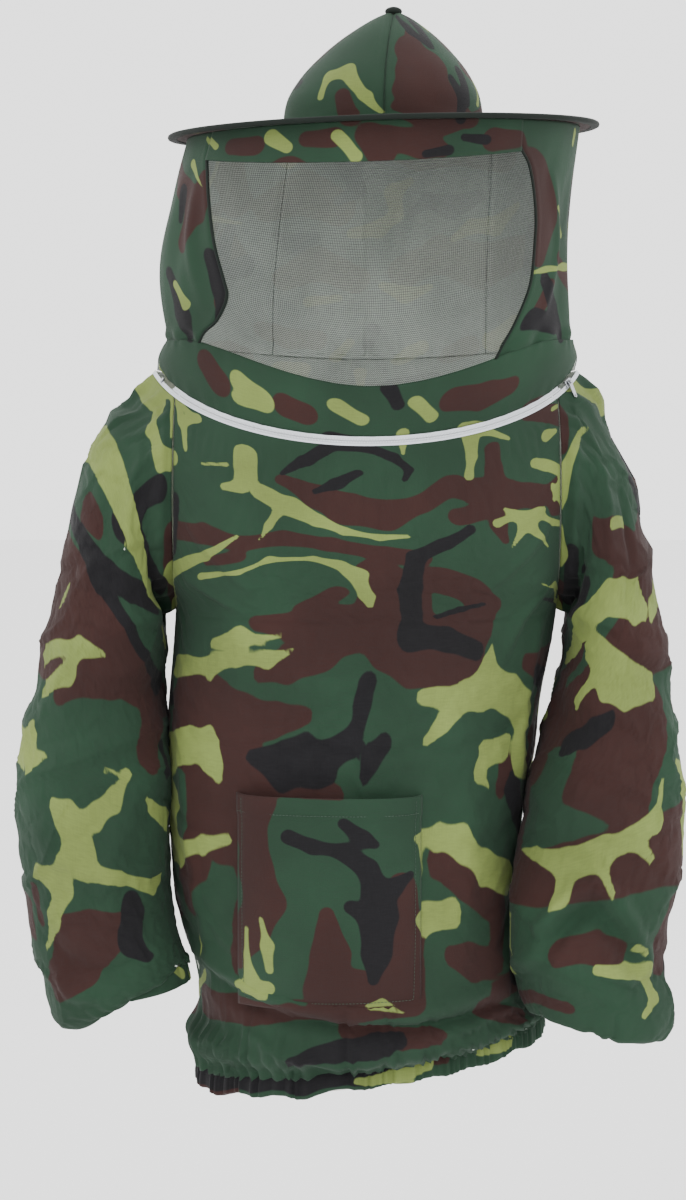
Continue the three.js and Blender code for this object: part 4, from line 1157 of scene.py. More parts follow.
@dataclass(frozen=True)
class Jacket:
    """The body of the jacket: front and back panels, patch pocket and gathered hem."""

    front_reach: float = 0.162
    back_reach: float = 0.141
    waist_shift: float = -0.018
    hem_top: float = -0.666
    hem_height: float = 0.028
    hem_half_width: float = 0.171
    hem_front: float = 0.142
    hem_back: float = 0.128
    hem_shift: float = 0.004
    hem_slant: float = 0.15
    pleats: int = 92
    droop: float = 0.010
    pocket_width: float = 0.174
    pocket_depth: float = 0.205
    pocket_shift: float = -0.036
    pocket_top: float = 0.404
    pocket_pouch: float = 0.017
    pocket_lift: float = 0.0034  # how far the pocket lies off the front panel
    stitch_inset: float = 0.0075  # from the pocket's edge to its stitches
    panel_width: float = 0.552  # of the cut cloth
    panel_length: float = 0.655

    def level(self, share: float) -> float:
        """Height below the underarm: 0 at the underarm, 1 at the hem."""
        return -UNDERARM_DROP + (self.hem_top + UNDERARM_DROP) * share

    def lines(self, side: int) -> tuple[list[Point], list[Point]]:
        """Points down the middle and the edge of a panel, from the neck to the hem.

        Args:
            side: FRONT or BACK.

        Returns:
            The middle line and the edge line.
        """
        ahead = side == FRONT
        arc = FRONT_NECK if ahead else BACK_NECK
        reach = -self.front_reach if ahead else self.back_reach
        hem = -self.hem_front if ahead else self.hem_back
        neck = ZIP_EDGE if ahead else CLOTH_GAP / 2
        meets = arc.armhole_share(neck)
        top = arc.point(np.array([0.0]), neck)[0]
        corner = arc.point(np.array([meets]), neck)[0]
        wide, under, deep = BODY_HALF_WIDTH, UNDERARM_DROP, reach * 0.555
        shift, end = self.waist_shift, self.hem_shift
        middle = [
            tuple(top),
            (0, (top[1] + reach) / 2, -0.44 * under),
            (0, reach * 0.98, -0.65 * under),
            (0, reach, -0.82 * under),
            (0, reach, -under),
            (shift * 0.8, reach * (0.99 if ahead else 0.94), self.level(0.28)),
            (shift, reach * (1.02 if ahead else 0.98), self.level(0.66)),
            (end / 2, reach * 1.05, self.level(0.9)),
            (end, hem, self.hem_top + CLOTH_GAP),
        ]
        edge = [
            tuple(corner),
            (wide, corner[1] + (deep - corner[1]) * 0.86, -0.33 * under),
            (wide, deep, -0.62 * under),
            (wide, deep * 0.72, -0.84 * under),
            (wide, 0, -under),
            (wide * 0.98, 0, self.level(0.28)),
            (wide * 0.91, 0, self.level(0.66)),
            (wide * 0.895, 0, self.level(0.9)),
            (self.hem_half_width, 0, self.hem_top + CLOTH_GAP),
        ]
        return middle, edge

    def panel(self, side: int) -> Surface:
        """The form of a panel as shares across and down.

        Args:
            side: FRONT or BACK.

        Returns:
            The form, as a function of shares across and down.
        """
        middle_line, edge_line = self.lines(side)
        arc = FRONT_NECK if side == FRONT else BACK_NECK
        neck = ZIP_EDGE if side == FRONT else CLOTH_GAP / 2
        neck_angle = arc.armhole_share(neck) * arc.half

        def surface(u: Array, v: Array) -> Array:
            """Points of the form."""
            share = 2 * u - 1
            middle = spline(knots_for(middle_line, len(v)), v)
            edge = spline(knots_for(edge_line, len(v)), v)
            edge[:, 1] = side * np.maximum(0, side * edge[:, 1])
            angle = lerp(neck_angle, math.pi / 2, smooth(v / UNDERARM))
            across = np.sin(angle * share) / np.sin(angle)
            bend = (1 - np.cos(angle * share)) / (1 - np.cos(angle))
            x = middle[:, 0] + edge[:, 0] * across
            y = lerp(middle[:, 1], edge[:, 1], bend) - side * SEAM / 2 * np.abs(share)
            low = np.maximum(0, (v - UNDERARM) / (1 - UNDERARM)) ** 4
            z = lerp(middle[:, 2], edge[:, 2], bend) + self.hem_slant * x * low
            z = z - self.droop * smooth((v - 0.88) / 0.12)
            return stack(x, y, z)

        return surface

    def gathers(self, angle: Array) -> Array:
        """Height of the pleats round the hem, from -1 to 1."""
        wander = 1.3 * noise(angle * 3.1, 0 * angle, 4) + angle
        pleat = np.sin(self.pleats / 2 * wander) + 0.5 * np.sin(self.pleats * 0.77 * wander + 1)
        return pleat / 1.5

    def relief(self, side: int) -> Callable[[Array, Array, LaidCloth], Array]:
        """Soft folds of a panel: drape below the chest, a blouse over the hem, and its gathers.

        Args:
            side: FRONT or BACK.

        Returns:
            The heights, as a function of shares and the laid cloth.
        """

        def rise(u: Array, v: Array, cloth: LaidCloth) -> Array:
            """Heights along the normals."""
            x, z = cloth.points[:, 0], cloth.points[:, 2]
            deep = self.hem_front if side == FRONT else self.hem_back
            angle = np.arctan2((x - self.hem_shift) / self.hem_half_width, -cloth.points[:, 1] / deep)
            sewn = smooth(v / 0.05) * smooth(np.minimum(u, 1 - u) / 0.035)
            broad = 0.007 * noise(x * 9 + side, z * 3.2, 1) + 0.005 * noise(x * 19, z * 8, 2)
            drape = smooth((v - 0.12) / 0.3) * broad * smooth((1 - v) / 0.03)
            near_hem = smooth((v - 0.78) / 0.2)
            pleats = 0.0042 * near_hem**2 * self.gathers(angle)
            blouse = 0.014 * np.exp(-(((v - 0.945) / 0.035) ** 2))
            tuck = 0.0035 * smooth((v - 0.97) / 0.03)
            welt = -0.0012 * (1 - smooth(np.minimum(u, 1 - u) / 0.012))
            return drape * sewn + pleats + blouse * (0.6 + 0.4 * sewn) + tuck + welt

        return rise

    def pocket_surface(self, u: Array, v: Array) -> Array:
        """The form of the patch pocket, over the front panel.

        Args:
            u: Shares across the cloth.
            v: Shares down the cloth.

        Returns:
            The points.
        """
        panel = self.panel(FRONT)
        rows = np.linspace(0, 1, 400)
        middle = panel(np.full(400, 0.5), rows)
        row = np.interp(self.pocket_top + v * self.pocket_depth, -middle[:, 2], rows)
        x = self.pocket_shift + (u - 0.5) * self.pocket_width
        centre = np.interp(row, rows, middle[:, 0])
        edge = np.interp(row, rows, panel(np.ones(400), rows)[:, 0] - middle[:, 0])
        share = 0.5 + np.arcsin(np.clip((x - centre) / edge, -1, 1)) / math.pi
        step = 0.003
        across = panel(share + step, row) - panel(share - step, row)
        normal = unit(np.cross(across, panel(share, row + step) - panel(share, row - step)))
        normal *= -np.sign(normal[:, 1:2])
        pouch = self.pocket_pouch * (1 - np.abs(2 * u - 1) ** 6) * (1 - v**5)
        return panel(share, row) + normal * (self.pocket_lift + pouch)[:, None]

    def pocket_relief(self, u: Array, v: Array, cloth: LaidCloth) -> Array:
        """Turned mouth, sewn edges and soft hollows of the pocket.

        Args:
            u: Shares across the cloth.
            v: Shares down the cloth.
            cloth: The laid cloth.

        Returns:
            The heights along the normals.
        """
        side = np.minimum(u, 1 - u) * self.pocket_width
        down = v * self.pocket_depth
        mouth = 0.0011 * (1 - smooth((down - 0.019) / 0.003))
        edge = np.minimum(side, (1 - v) * self.pocket_depth)
        sewn = -0.0009 * np.exp(-(((edge - self.stitch_inset) / 0.0016) ** 2))
        soft = 0.003 * noise(u * 2.3, v * 2.1, 8) + 0.0016 * noise(u * 5, v * 4, 9)
        return mouth + sewn + soft * smooth(edge / 0.03)

    def casing(self, u: Array, v: Array) -> Array:
        """The form of the hem: round the body, and folded under at the bottom.

        Args:
            u: Shares across the cloth.
            v: Shares down the cloth.

        Returns:
            The points.
        """
        angle = 2 * math.pi * (u + 0.25)
        depth = np.where(np.cos(angle) > 0, self.hem_front, self.hem_back)
        shift, wide = self.hem_shift, self.hem_half_width
        at = stack(shift + wide * np.sin(angle), -depth * np.cos(angle), self.hem_top)
        at[:, 2] += self.hem_slant * at[:, 0]
        out = unit(stack(np.sin(angle) / wide, -np.cos(angle) / depth, 0 * angle))
        inward, down = folded_wall(v, self.hem_height, CASING_DEPTH)
        down = down - 0.009 * (1 - v) ** 6
        pleat = 0.0024 * (1 + self.gathers(np.arctan2(np.sin(angle), np.cos(angle))))
        pleat += 0.004 * (1 + noise(angle * 5, v * 0.8, 7)) * smooth(v / 0.25)
        pleat *= 1 - smooth((v - 0.42) / 0.1)
        inward = inward + 0.005 * (1 - v) ** 8
        at[:, 2] += 0.009 * noise(angle * 4.5, 0 * angle, 6) * smooth(v / 0.4) * smooth((1 - v) / 0.2 + 0.2)
        return at + out * (pleat - inward)[:, None] + np.array([0, 0, -1.0]) * down[:, None]

    def build(self) -> None:
        """Makes the panels, the pocket and the hem."""
        centre = (0.0, 0.0, -0.35)
        common = {"inside": centre, "width": self.panel_width, "length": self.panel_length,
                  "sides_meet": True}
        front = Cloth("front_body_cloth", self.panel(FRONT), columns=132, rows=164,
                      relief=self.relief(FRONT),
                      creases=BODY_CREASES, relaxed=Relaxing(), **common)
        front.make(Sewing(["body_front_panel"], "jacket", rests_on=["white_zip_tape_jacket"]))
        back = Cloth("back_body_cloth", self.panel(BACK), columns=120, rows=150, relief=self.relief(BACK),
                     creases=BACK_CREASES, relaxed=Relaxing(), **common)
        back.make(Sewing(["body_back_panel"], "jacket", rests_on=["yoke_back_cloth"]))
        pocket = Cloth("pocket_cloth", self.pocket_surface, centre, 66, 78, self.pocket_width,
                       self.pocket_depth,
                       relief=self.pocket_relief, creases=POCKET_CREASES)
        pocket.make(Sewing(["front_pocket"], "jacket", rests_on=["front_body_cloth"]))
        hem = Cloth("hem_cloth", self.casing, (0.0, 0.0, self.hem_top), 560, 20, 2 * self.panel_width,
                    2.2 * self.hem_height,
                    closed=True)
        hem.make(Sewing(["hem_casing"], "jacket", "gathered", ["front_body_cloth", "back_body_cloth"]))


def folded_wall(v: Array, height: float, depth: float) -> tuple[Array, Array]:
    """Section of a casing: down its outer wall, round the bottom and up its inner wall.

    Args:
        v: Share along the section.
        height: Height of the casing.
        depth: Distance between its walls.

    Returns:
        How far in and how far down each point lies.
    """
    bend = 0.12
    outer = np.clip(v / (0.5 - bend), 0, 1)
    turn = np.clip((v - 0.5 + bend) / (2 * bend), 0, 1) * math.pi
    inner = np.clip((v - 0.5 - bend) / (0.5 - bend), 0, 1)
    straight = height - depth / 2
    down = straight * outer + depth / 2 * np.sin(turn) - straight * inner * 0.96
    return depth / 2 * (1 - np.cos(turn)), down


BODY_CREASES = [
    Crease([(-178, -150), (-150, -185), (-118, -215)], 0.008, 0.004),
    Crease([(-180, -205), (-150, -222), (-122, -238)], 0.007, 0.0035),
    Crease([(178, -160), (150, -190), (120, -215)], 0.008, 0.004),
    Crease([(180, -215), (155, -245), (140, -280)], 0.008, 0.0045),
    Crease([(172, -255), (160, -330), (150, -420), (148, -520)], 0.011, 0.005),
    Crease([(160, -420), (152, -500), (140, -580)], 0.009, -0.005),
    Crease([(-188, -330), (-180, -420), (-170, -520), (-160, -590)], 0.011, 0.0045),
    Crease([(-172, -600), (-120, -640), (-40, -664), (50, -664), (140, -640)], 0.011, -0.011),
    Crease([(-172, -585), (-120, -622), (-40, -646), (50, -646), (140, -622)], 0.011, 0.008),
    Crease([(-120, -668), (-60, -690), (0, -694)], 0.008, 0.005),
    Crease([(30, -676), (90, -662), (150, -642)], 0.007, 0.006),
    Crease([(80, -300), (100, -400), (104, -500), (96, -600)], 0.014, 0.0035),
    Crease([(-10, -110), (-16, -220), (-12, -320)], 0.02, 0.002),
]
BACK_CREASES = [
    Crease([(-150, -130), (-110, -220), (-100, -330)], 0.012, 0.005, BACK),
    Crease([(150, -140), (105, -230), (95, -350)], 0.012, 0.005, BACK),
    Crease([(-30, -80), (-20, -220), (-28, -380)], 0.018, 0.004, BACK),
    Crease([(40, -90), (30, -200), (45, -360)], 0.014, -0.003, BACK),
    Crease([(-160, -420), (-60, -470), (50, -460), (150, -500)], 0.018, 0.004, BACK),
    Crease([(-150, -600), (-50, -640), (60, -625), (150, -600)], 0.014, -0.005, BACK),
]
POCKET_CREASES = [
    Crease([(-115, -425), (-100, -500), (-104, -585)], 0.012, 0.002),
    Crease([(10, -440), (0, -510), (14, -580)], 0.010, 0.0018),
    Crease([(-70, -470), (-40, -560)], 0.014, -0.0022),
]


# ---- Sleeves -------------------------------------------------------------------------------------
@dataclass(frozen=True)
class Station:
    """One place down a sleeve, seen from the front.

    outer and inner are the lines of its two sides: how far outward from the armhole seam, and the share
    of the sleeve's length down. deep is half its depth and ahead how far its middle lies forward.
    """

    outer: tuple[float, float]
    inner: tuple[float, float]
    deep: float
    ahead: float


@dataclass(frozen=True)
class Cuff:
    """A cuff: middle of its top as for a station, its slant, and how the sleeve turns up into it."""

    centre: tuple[float, float]
    slant: float
    ahead: float
    outer: tuple[float, float]
    inner: tuple[float, float]
    height: float = 0.020
    half_width: float = 0.044


@dataclass
class Sleeve:
    """A set-in sleeve with a dropped shoulder and a gathered cuff."""

    name: str
    side: int  # -1 on the wearer's right
    stations: Sequence[Station]
    cuff: Cuff
    creases: Sequence[Crease]
    length: float = 0.645
    leave: float = 0.024
    girth: float = 0.56
    cloth_length: float = 0.60  # of the cut cloth, without the cuff
    blend_start: tuple[float, float] = (0.190, -0.2325)  # outwards and up
    blend_end: tuple[float, float] = (0.263, -0.2936)  # outwards and up

    def ring_top(self, turn: Array) -> Array:
        """The sleeve's top edge for turns 0 to 1: shoulder, front of the armhole, underarm, back.

        Args:
            turn: Turns round the sleeve, from the shoulder forwards.

        Returns:
            The points.
        """
        place = (turn % 1) * 24
        sides = []
        jacket = Jacket()
        for arc, gap, reverse in ((FRONT_NECK, ZIP_EDGE, False), (BACK_NECK, CLOTH_GAP / 2, True)):
            local = 24 - place if reverse else place
            meets = arc.armhole_share(gap)
            on_neck = arc.point(lerp(1.0, meets, np.clip(local / 2, 0, 1)), gap)
            row = np.clip((local - 2) / 10, 0, 1) * UNDERARM
            edge = spline(knots_for(jacket.lines(arc.side)[1], len(row)), row)
            edge[:, 0] += SEAM / 5
            sides.append(np.where((local < 2)[:, None], on_neck, edge))
        return np.where((place <= 12)[:, None], sides[0], sides[1])

    def leaving(self, point: Array) -> Array:
        """The way that the sleeve leaves the armhole.

        Args:
            point: Points of the armhole's edge.

        Returns:
            The points.
        """
        drop = np.clip((-point[:, 2] - 0.010) / 0.100, 0, 1) ** 0.6
        behind = 0.6 * np.clip(point[:, 1] / 0.025, 0, 1)
        low = np.maximum(drop, behind)
        return stack(lerp(0.6, 0.98, low), lerp(0.1, 0.0, low), lerp(-0.79, -0.2, low))

    def cuff_frame(self) -> tuple[Array, Array, Array]:
        """Centre of the cuff, the way across it and the way down the arm.

        Returns:
            The centre, the way across and the way down.
        """
        slant = math.radians(self.cuff.slant)
        x = self.side * (BODY_HALF_WIDTH + self.cuff.centre[0])
        at = np.array([x, -self.cuff.ahead, -self.cuff.centre[1] * self.length])
        across = np.array([self.side * math.cos(slant), 0, -math.sin(slant)])
        down = np.array([-self.side * math.sin(slant), 0, -math.cos(slant)])
        return at, across, down

    def cuff_ring(self, turn: Array, outer: tuple[float, float], inner: tuple[float, float]) -> Array:
        """Points round the cuff, each end given as distance outside it and distance below its top.

        Args:
            turn: Turns round the cuff.
            outer: The outer end.
            inner: The inner end.

        Returns:
            The points.
        """
        at, across, down = self.cuff_frame()
        angle = 2 * math.pi * turn
        share = (1 + np.cos(angle)) / 2
        radius = self.cuff.half_width + lerp(inner[0], outer[0], share)
        point = at + across * (radius * np.cos(angle))[:, None]
        point[:, 1] -= radius * np.sin(angle)
        return point + down * lerp(inner[1], outer[1], share)[:, None]

    def surface(self, u: Array, v: Array) -> Array:
        """The form of the sleeve. The seam of its cloth runs down from the underarm.

        Args:
            u: Shares across the cloth.
            v: Shares down the cloth.

        Returns:
            The points.
        """
        turn = (u + 0.5) % 1
        rings = [self.ring_top(turn)]
        rings.append(rings[0] + self.leaving(rings[0]) * self.leave)
        for station in self.stations:
            outer = np.array([BODY_HALF_WIDTH + station.outer[0], -station.ahead, -station.outer[1]
                              * self.length])
            inner = np.array([BODY_HALF_WIDTH + station.inner[0], -station.ahead, -station.inner[1]
                              * self.length])
            ring = lerp(outer[None, :], inner[None, :], (1 - np.cos(2 * math.pi * turn)) / 2)
            ring[:, 1] -= station.deep * np.sin(2 * math.pi * turn)
            rings.append(ring)
        mirrored = [ring * np.array([self.side, 1, 1]) for ring in rings]
        outer, inner = self.cuff.outer, self.cuff.inner
        half = [(a / 2, b / 2) for a, b in (outer, inner)]
        sewn = (0.0, -CLOTH_GAP)
        ends = [self.cuff_ring(turn, outer, inner), self.cuff_ring(turn, *half),
                self.cuff_ring(turn, sewn, sewn)]
        return spline(np.stack(mirrored + ends), v)

    def gathers(self, turn: Array) -> Array:
        """Height of the pleats round the cuff, from -1 to 1."""
        wander = turn * 2 * math.pi + 1.1 * noise(turn * 6, 0 * turn, 3 + self.side)
        return (np.sin(13 * wander) + 0.5 * np.sin(21 * wander + 2)) / 1.5

    def relief(self, u: Array, v: Array, cloth: LaidCloth) -> Array:
        """Soft folds down the sleeve, and the gathers above its cuff.

        Args:
            u: Shares across the cloth.
            v: Shares down the cloth.
            cloth: The laid cloth.

        Returns:
            The heights along the normals.
        """
        turn = (u + 0.5) % 1
        round_ = np.stack([np.cos(2 * math.pi * turn), np.sin(2 * math.pi * turn)])
        x, z = cloth.points[:, 0] * self.side, cloth.points[:, 2]
        depth = cloth.points[:, 1]
        slant = z + 0.35 * x
        broad = noise(depth * 7 + x * 5, slant * 11, 11 + self.side) * 0.006
        fine = noise(depth * 14 + x * 9, slant * 24, 17 + self.side) * 0.0035
        folds = ridges(depth * 6 + x * 4, slant * 13, 23 + self.side) * 0.004
        sewn = smooth(v / 0.06) * smooth((0.97 - v) / 0.06)
        cap = 0.0035 * smooth(v / 0.02) * np.exp(-(((v - 0.05) / 0.05) ** 2))
        pucker = cap * np.maximum(0, np.sin(34 * math.pi * turn + 2 * round_[0]))
        near_cuff = smooth((v - 0.66) / 0.3) * smooth((1.01 - v) / 0.03)
        pleats = 0.006 * near_cuff**1.5 * self.gathers(turn)
        return (broad + fine + folds) * sewn * smooth((v - 0.04) / 0.2) + pucker + pleats

    def casing(self, u: Array, v: Array) -> Array:
        """The form of the cuff: round the wrist, and folded under at the bottom.

        Args:
            u: Shares across the cloth.
            v: Shares down the cloth.

        Returns:
            The points.
        """
        turn = (u + 0.5) % 1
        at, _, down = self.cuff_frame()
        ring = self.cuff_ring(turn, (0, 0), (0, 0))
        out = unit(ring - at)
        inward, fall = folded_wall(v, self.cuff.height, CASING_DEPTH)
        pleat = 0.0016 * (1 + self.gathers(turn)) * (1 - smooth((v - 0.42) / 0.1))
        return ring + out * (pleat - inward)[:, None] + down * fall[:, None]

    def build(self) -> None:
        """Makes the sleeve and its cuff."""
        body = f"sleeve_{self.name}"
        middle = (self.side * 0.245, -0.04, -0.32)
        sleeve = Cloth(f"{self.name}_sleeve_cloth", self.surface, middle, 150, 172, self.girth,
                       self.cloth_length, closed=True,
                       relief=self.relief, creases=self.creases, relaxed=Relaxing(spare=0.03))
        near, far = ((self.side * out, 0.0, up) for out, up in (self.blend_start, self.blend_end))
        sleeve.make(Sewing([body], body, rests_on=["front_body_cloth"], blend=("jacket", body, near, far)))
        at, _, _ = self.cuff_frame()
        cuff = Cloth(f"{self.name}_cuff_cloth", self.casing, tuple(at), 200, 18, 2.4 * math.pi
                     * self.cuff.half_width,
                     2.2 * self.cuff.height, closed=True)
        cuff.make(Sewing([f"cuff_casing_{self.name}"], body, "gathered", [f"{self.name}_sleeve_cloth"]))


def stations(*rows: tuple[float, ...]) -> list[Station]:
    """Stations from rows of outer line, inner line, depth and lead, lengths in millimetres."""
    return [Station((a * MM, b), (c * MM, d), e * MM, f * MM) for a, b, c, d, e, f in rows]


RIGHT_SLEEVE = Sleeve(
    "right",
    -1,
    stations(
        (67, 0.078, 10, 0.415, 90, 8),
        (94, 0.165, 12, 0.455, 91, 14),
        (108, 0.28, 12, 0.51, 87, 24),
        (130, 0.405, 10, 0.58, 84, 34),
        (149, 0.54, 8, 0.66, 84, 42),
        (155, 0.67, 6, 0.745, 82, 48),
        (149, 0.8, 3, 0.815, 78, 54),
        (134, 0.92, -2, 0.86, 70, 60),
        (120, 0.985, -6, 0.883, 62, 64),
        (102, 0.998, -8, 0.893, 56, 66),
    ),
    Cuff((0.034, 0.92), 13, 0.066, (0.006, 0.022), (0.002, -0.004)),
    [
        Crease([(-200, -40), (-206, -110), (-204, -190)], 0.010, 0.005),
        Crease([(-222, -60), (-236, -130), (-244, -200)], 0.012, 0.0055),
        Crease([(-250, -95), (-262, -150), (-262, -215)], 0.013, -0.0025),
        Crease([(-196, -230), (-225, -245), (-262, -240)], 0.010, 0.005),
        Crease([(-198, -300), (-235, -330), (-285, -335)], 0.014, -0.005),
        Crease([(-205, -390), (-240, -440), (-262, -500), (-262, -560)], 0.016, 0.006),
        Crease([(-330, -470), (-290, -500), (-235, -505), (-205, -495)], 0.012, 0.005),
        Crease([(-330, -560), (-300, -600), (-262, -605), (-225, -590)], 0.012, -0.006),
        Crease([(-318, -590), (-300, -625), (-275, -632)], 0.010, 0.006),
    ],
)
LEFT_SLEEVE = Sleeve(
    "left",
    1,
    stations(
        (57, 0.108, 10, 0.415, 89, 8),
        (80, 0.185, 7, 0.455, 89, 14),
        (91, 0.28, -3, 0.51, 84, 26),
        (103, 0.405, -16, 0.58, 80, 42),
        (115, 0.53, -32, 0.66, 77, 60),
        (121, 0.65, -42, 0.745, 74, 77),
        (115, 0.79, -46, 0.83, 70, 87),
        (98, 0.9, -41, 0.895, 66, 93),
        (111, 0.955, -34, 0.94, 62, 96),
        (104, 1.005, -25, 0.965, 57, 96),
    ),
    Cuff((0.033, 0.955), 8, 0.096, (0.006, 0.020), (0.004, 0.007)),
    [
        Crease([(202, -60), (208, -120), (206, -185)], 0.010, 0.005),
        Crease([(226, -70), (240, -130), (246, -190)], 0.012, 0.0055),
        Crease([(252, -100), (262, -160), (262, -220)], 0.010, -0.005),
        Crease([(196, -215), (222, -240), (262, -250)], 0.010, 0.005),
        Crease([(185, -330), (225, -360), (285, -352)], 0.014, -0.005),
        Crease([(170, -450), (215, -440), (280, -470)], 0.014, 0.005),
        Crease([(178, -560), (205, -530), (232, -518), (256, -545), (284, -592)], 0.009, 0.016),
        Crease([(185, -582), (208, -552), (232, -540), (254, -566), (272, -600)], 0.010, -0.014),
        Crease([(150, -600), (180, -586), (215, -592)], 0.010, 0.006),
        Crease([(240, -600), (262, -612), (286, -600)], 0.008, 0.006),
    ],
)


# ---- The hood and the hat --------------------------------------------------------------------------
@dataclass(frozen=True)
class Hat:
    """The round hat: a stitched two-ply brim with a wired rim, a four-gore crown and a button."""

    shift: float = 0.017
    rise: float = 0.235
    roll: float = math.radians(1.74)
    brim_radius: float = 0.2135
    ply_radius: float = 0.2089
    ply_hole: float = 0.0915
    quilting: float = 0.0105  # from one ring of stitches to the next
    band_radius: float = 0.0895
    band_height: float = 0.030
    binding_half: float = 0.0026  # half the thickness of the bound rim
    binding_leg: float = 0.0065
    brim_rise: float = 0.006
    brim_width: float = 0.1155
    crown_radius: float = 0.098
    crown_foot: float = 0.00805
    crown_height: float = 0.1105
    crown_lean: float = 0.014
    profile: tuple[tuple[float, float], ...] = (
        (1.0, 0.0),
        (0.995, 0.1),
        (0.955, 0.25),
        (0.835, 0.43),
        (0.665, 0.6),
        (0.46, 0.76),
        (0.22, 0.905),
        (0.06, 0.98),
    )

    def place(self, point: Array) -> Array:
        """Moves points from the hat's own place to where the hat is worn."""
        cos, sin = math.cos(self.roll), math.sin(self.roll)
        x, y, z = point[..., 0], point[..., 1], point[..., 2]
        return stack(x * cos - z * sin + self.shift, y, x * sin + z * cos + self.rise)

    def level(self, radius: Array) -> Array:
        """Height of the brim, a shallow cone, at a radius."""
        return self.brim_rise * (self.brim_radius - radius) / self.brim_width

    def gore(self, start: float) -> Surface:
        """The form of one gore of the crown, from its foot to the peak.

        Args:
            start: Degrees at which the gore starts.

        Returns:
            The form, as a function of shares across and down.
        """
        profile = [(r, 0.0, up) for r, up in self.profile]

        def surface(u: Array, v: Array) -> Array:
            """Points of the form."""
            turn = np.radians(start + 90 * u)
            line = spline(knots_for(profile, len(v)), 0.985 * v)
            radius, up = line[:, 0] * self.crown_radius, line[:, 2]
            x = radius * np.sin(turn) + self.crown_lean * up**2
            return self.place(stack(x, -radius * np.cos(turn), self.crown_foot + self.crown_height * up))

        return surface

    def gore_relief(self, u: Array, v: Array, cloth: LaidCloth) -> Array:
        """Seams between the gores, with a stitched welt beside each, and soft dents.

        Args:
            u: Shares across the cloth.
            v: Shares down the cloth.
            cloth: The laid cloth.

        Returns:
            The heights along the normals.
        """
        radius = np.interp(v, np.linspace(0, 1, 8), [r for r, _ in self.profile]) * self.crown_radius
        edge = np.minimum(u, 1 - u) * radius * math.pi / 2
        seam = -0.0016 * np.exp(-((edge / 0.0016) ** 2)) + 0.0006 * np.exp(-(((edge - 0.0055) / 0.002) ** 2))
        place = cloth.points
        dents = 0.0022 * noise(place[:, 0] * 26, place[:, 2] * 22, 31) * smooth(edge / 0.02)
        foot = 0.0012 * np.exp(-((v / 0.03) ** 2))
        return seam + dents * smooth(v / 0.15) + foot

    def ply(self, height: float) -> Surface:
        """The form of one ply of the brim.

        Args:
            height: Height of the ply over the brim's cone.

        Returns:
            The form, as a function of shares across and down.
        """

        def surface(u: Array, v: Array) -> Array:
            """Points of the form."""
            turn = 2 * math.pi * u
            radius = lerp(self.ply_hole, self.ply_radius, v)
            wave = 0.0012 * np.sin(2 * turn + 0.6) * v**2
            return self.place(stack(radius * np.sin(turn), -radius * np.cos(turn), self.level(radius)
                                    + height + wave))

        return surface

    def ply_relief(self, u: Array, v: Array, cloth: LaidCloth) -> Array:
        """Rings of stitching that quilt the brim."""
        reach = v * (self.ply_radius - self.ply_hole)
        ring = np.abs((reach / self.quilting) % 1 - 0.5)
        return -0.0006 * np.exp(-(((0.5 - ring) / 0.09) ** 2)) + 0.0004 * noise(u * 40, v * 4, 3)

    def binding(self, u: Array, v: Array) -> Array:
        """The form of the tape bound round the rim, folded over its edge.

        Args:
            u: Shares across the cloth.
            v: Shares down the cloth.

        Returns:
            The points.
        """
        turn = 2 * math.pi * u
        angle = np.clip((v - 0.4) / 0.2, 0, 1) * math.pi
        leg = self.binding_leg * (np.clip(1 - v / 0.4, 0, 1) + np.clip((v - 0.6) / 0.4, 0, 1))
        radius = self.brim_radius - self.binding_half - leg + self.binding_half * np.sin(angle)
        lift = self.binding_half * np.cos(angle) - 0.0002 * np.cos(angle) * leg / self.binding_leg
        return self.place(stack(radius * np.sin(turn), -radius * np.cos(turn), self.level(radius) + lift))

    def band(self, u: Array, v: Array) -> Array:
        """The form of the sweatband inside the crown."""
        turn = 2 * math.pi * u
        z = self.crown_foot + 0.026 - self.band_height * v
        return self.place(stack(self.band_radius * np.sin(turn), -self.band_radius * np.cos(turn), z))

    def button(self) -> None:
        """The covered button at the peak."""
        mesh = bmesh.new()
        bmesh.ops.create_uvsphere(mesh, u_segments=40, v_segments=20, radius=0.0085)
        bmesh.ops.scale(mesh, verts=mesh.verts, vec=(1, 1, 0.56))
        foot = self.crown_foot + self.crown_height * 0.98
        at = self.place(np.array([self.crown_lean * 0.96, 0, foot + 0.0012]))
        bmesh.ops.translate(mesh, verts=mesh.verts, vec=Vector(at))
        finished_piece(mesh, "covered_crown_button", PIPING, "hood", ["crown_button"], "dark_binding")

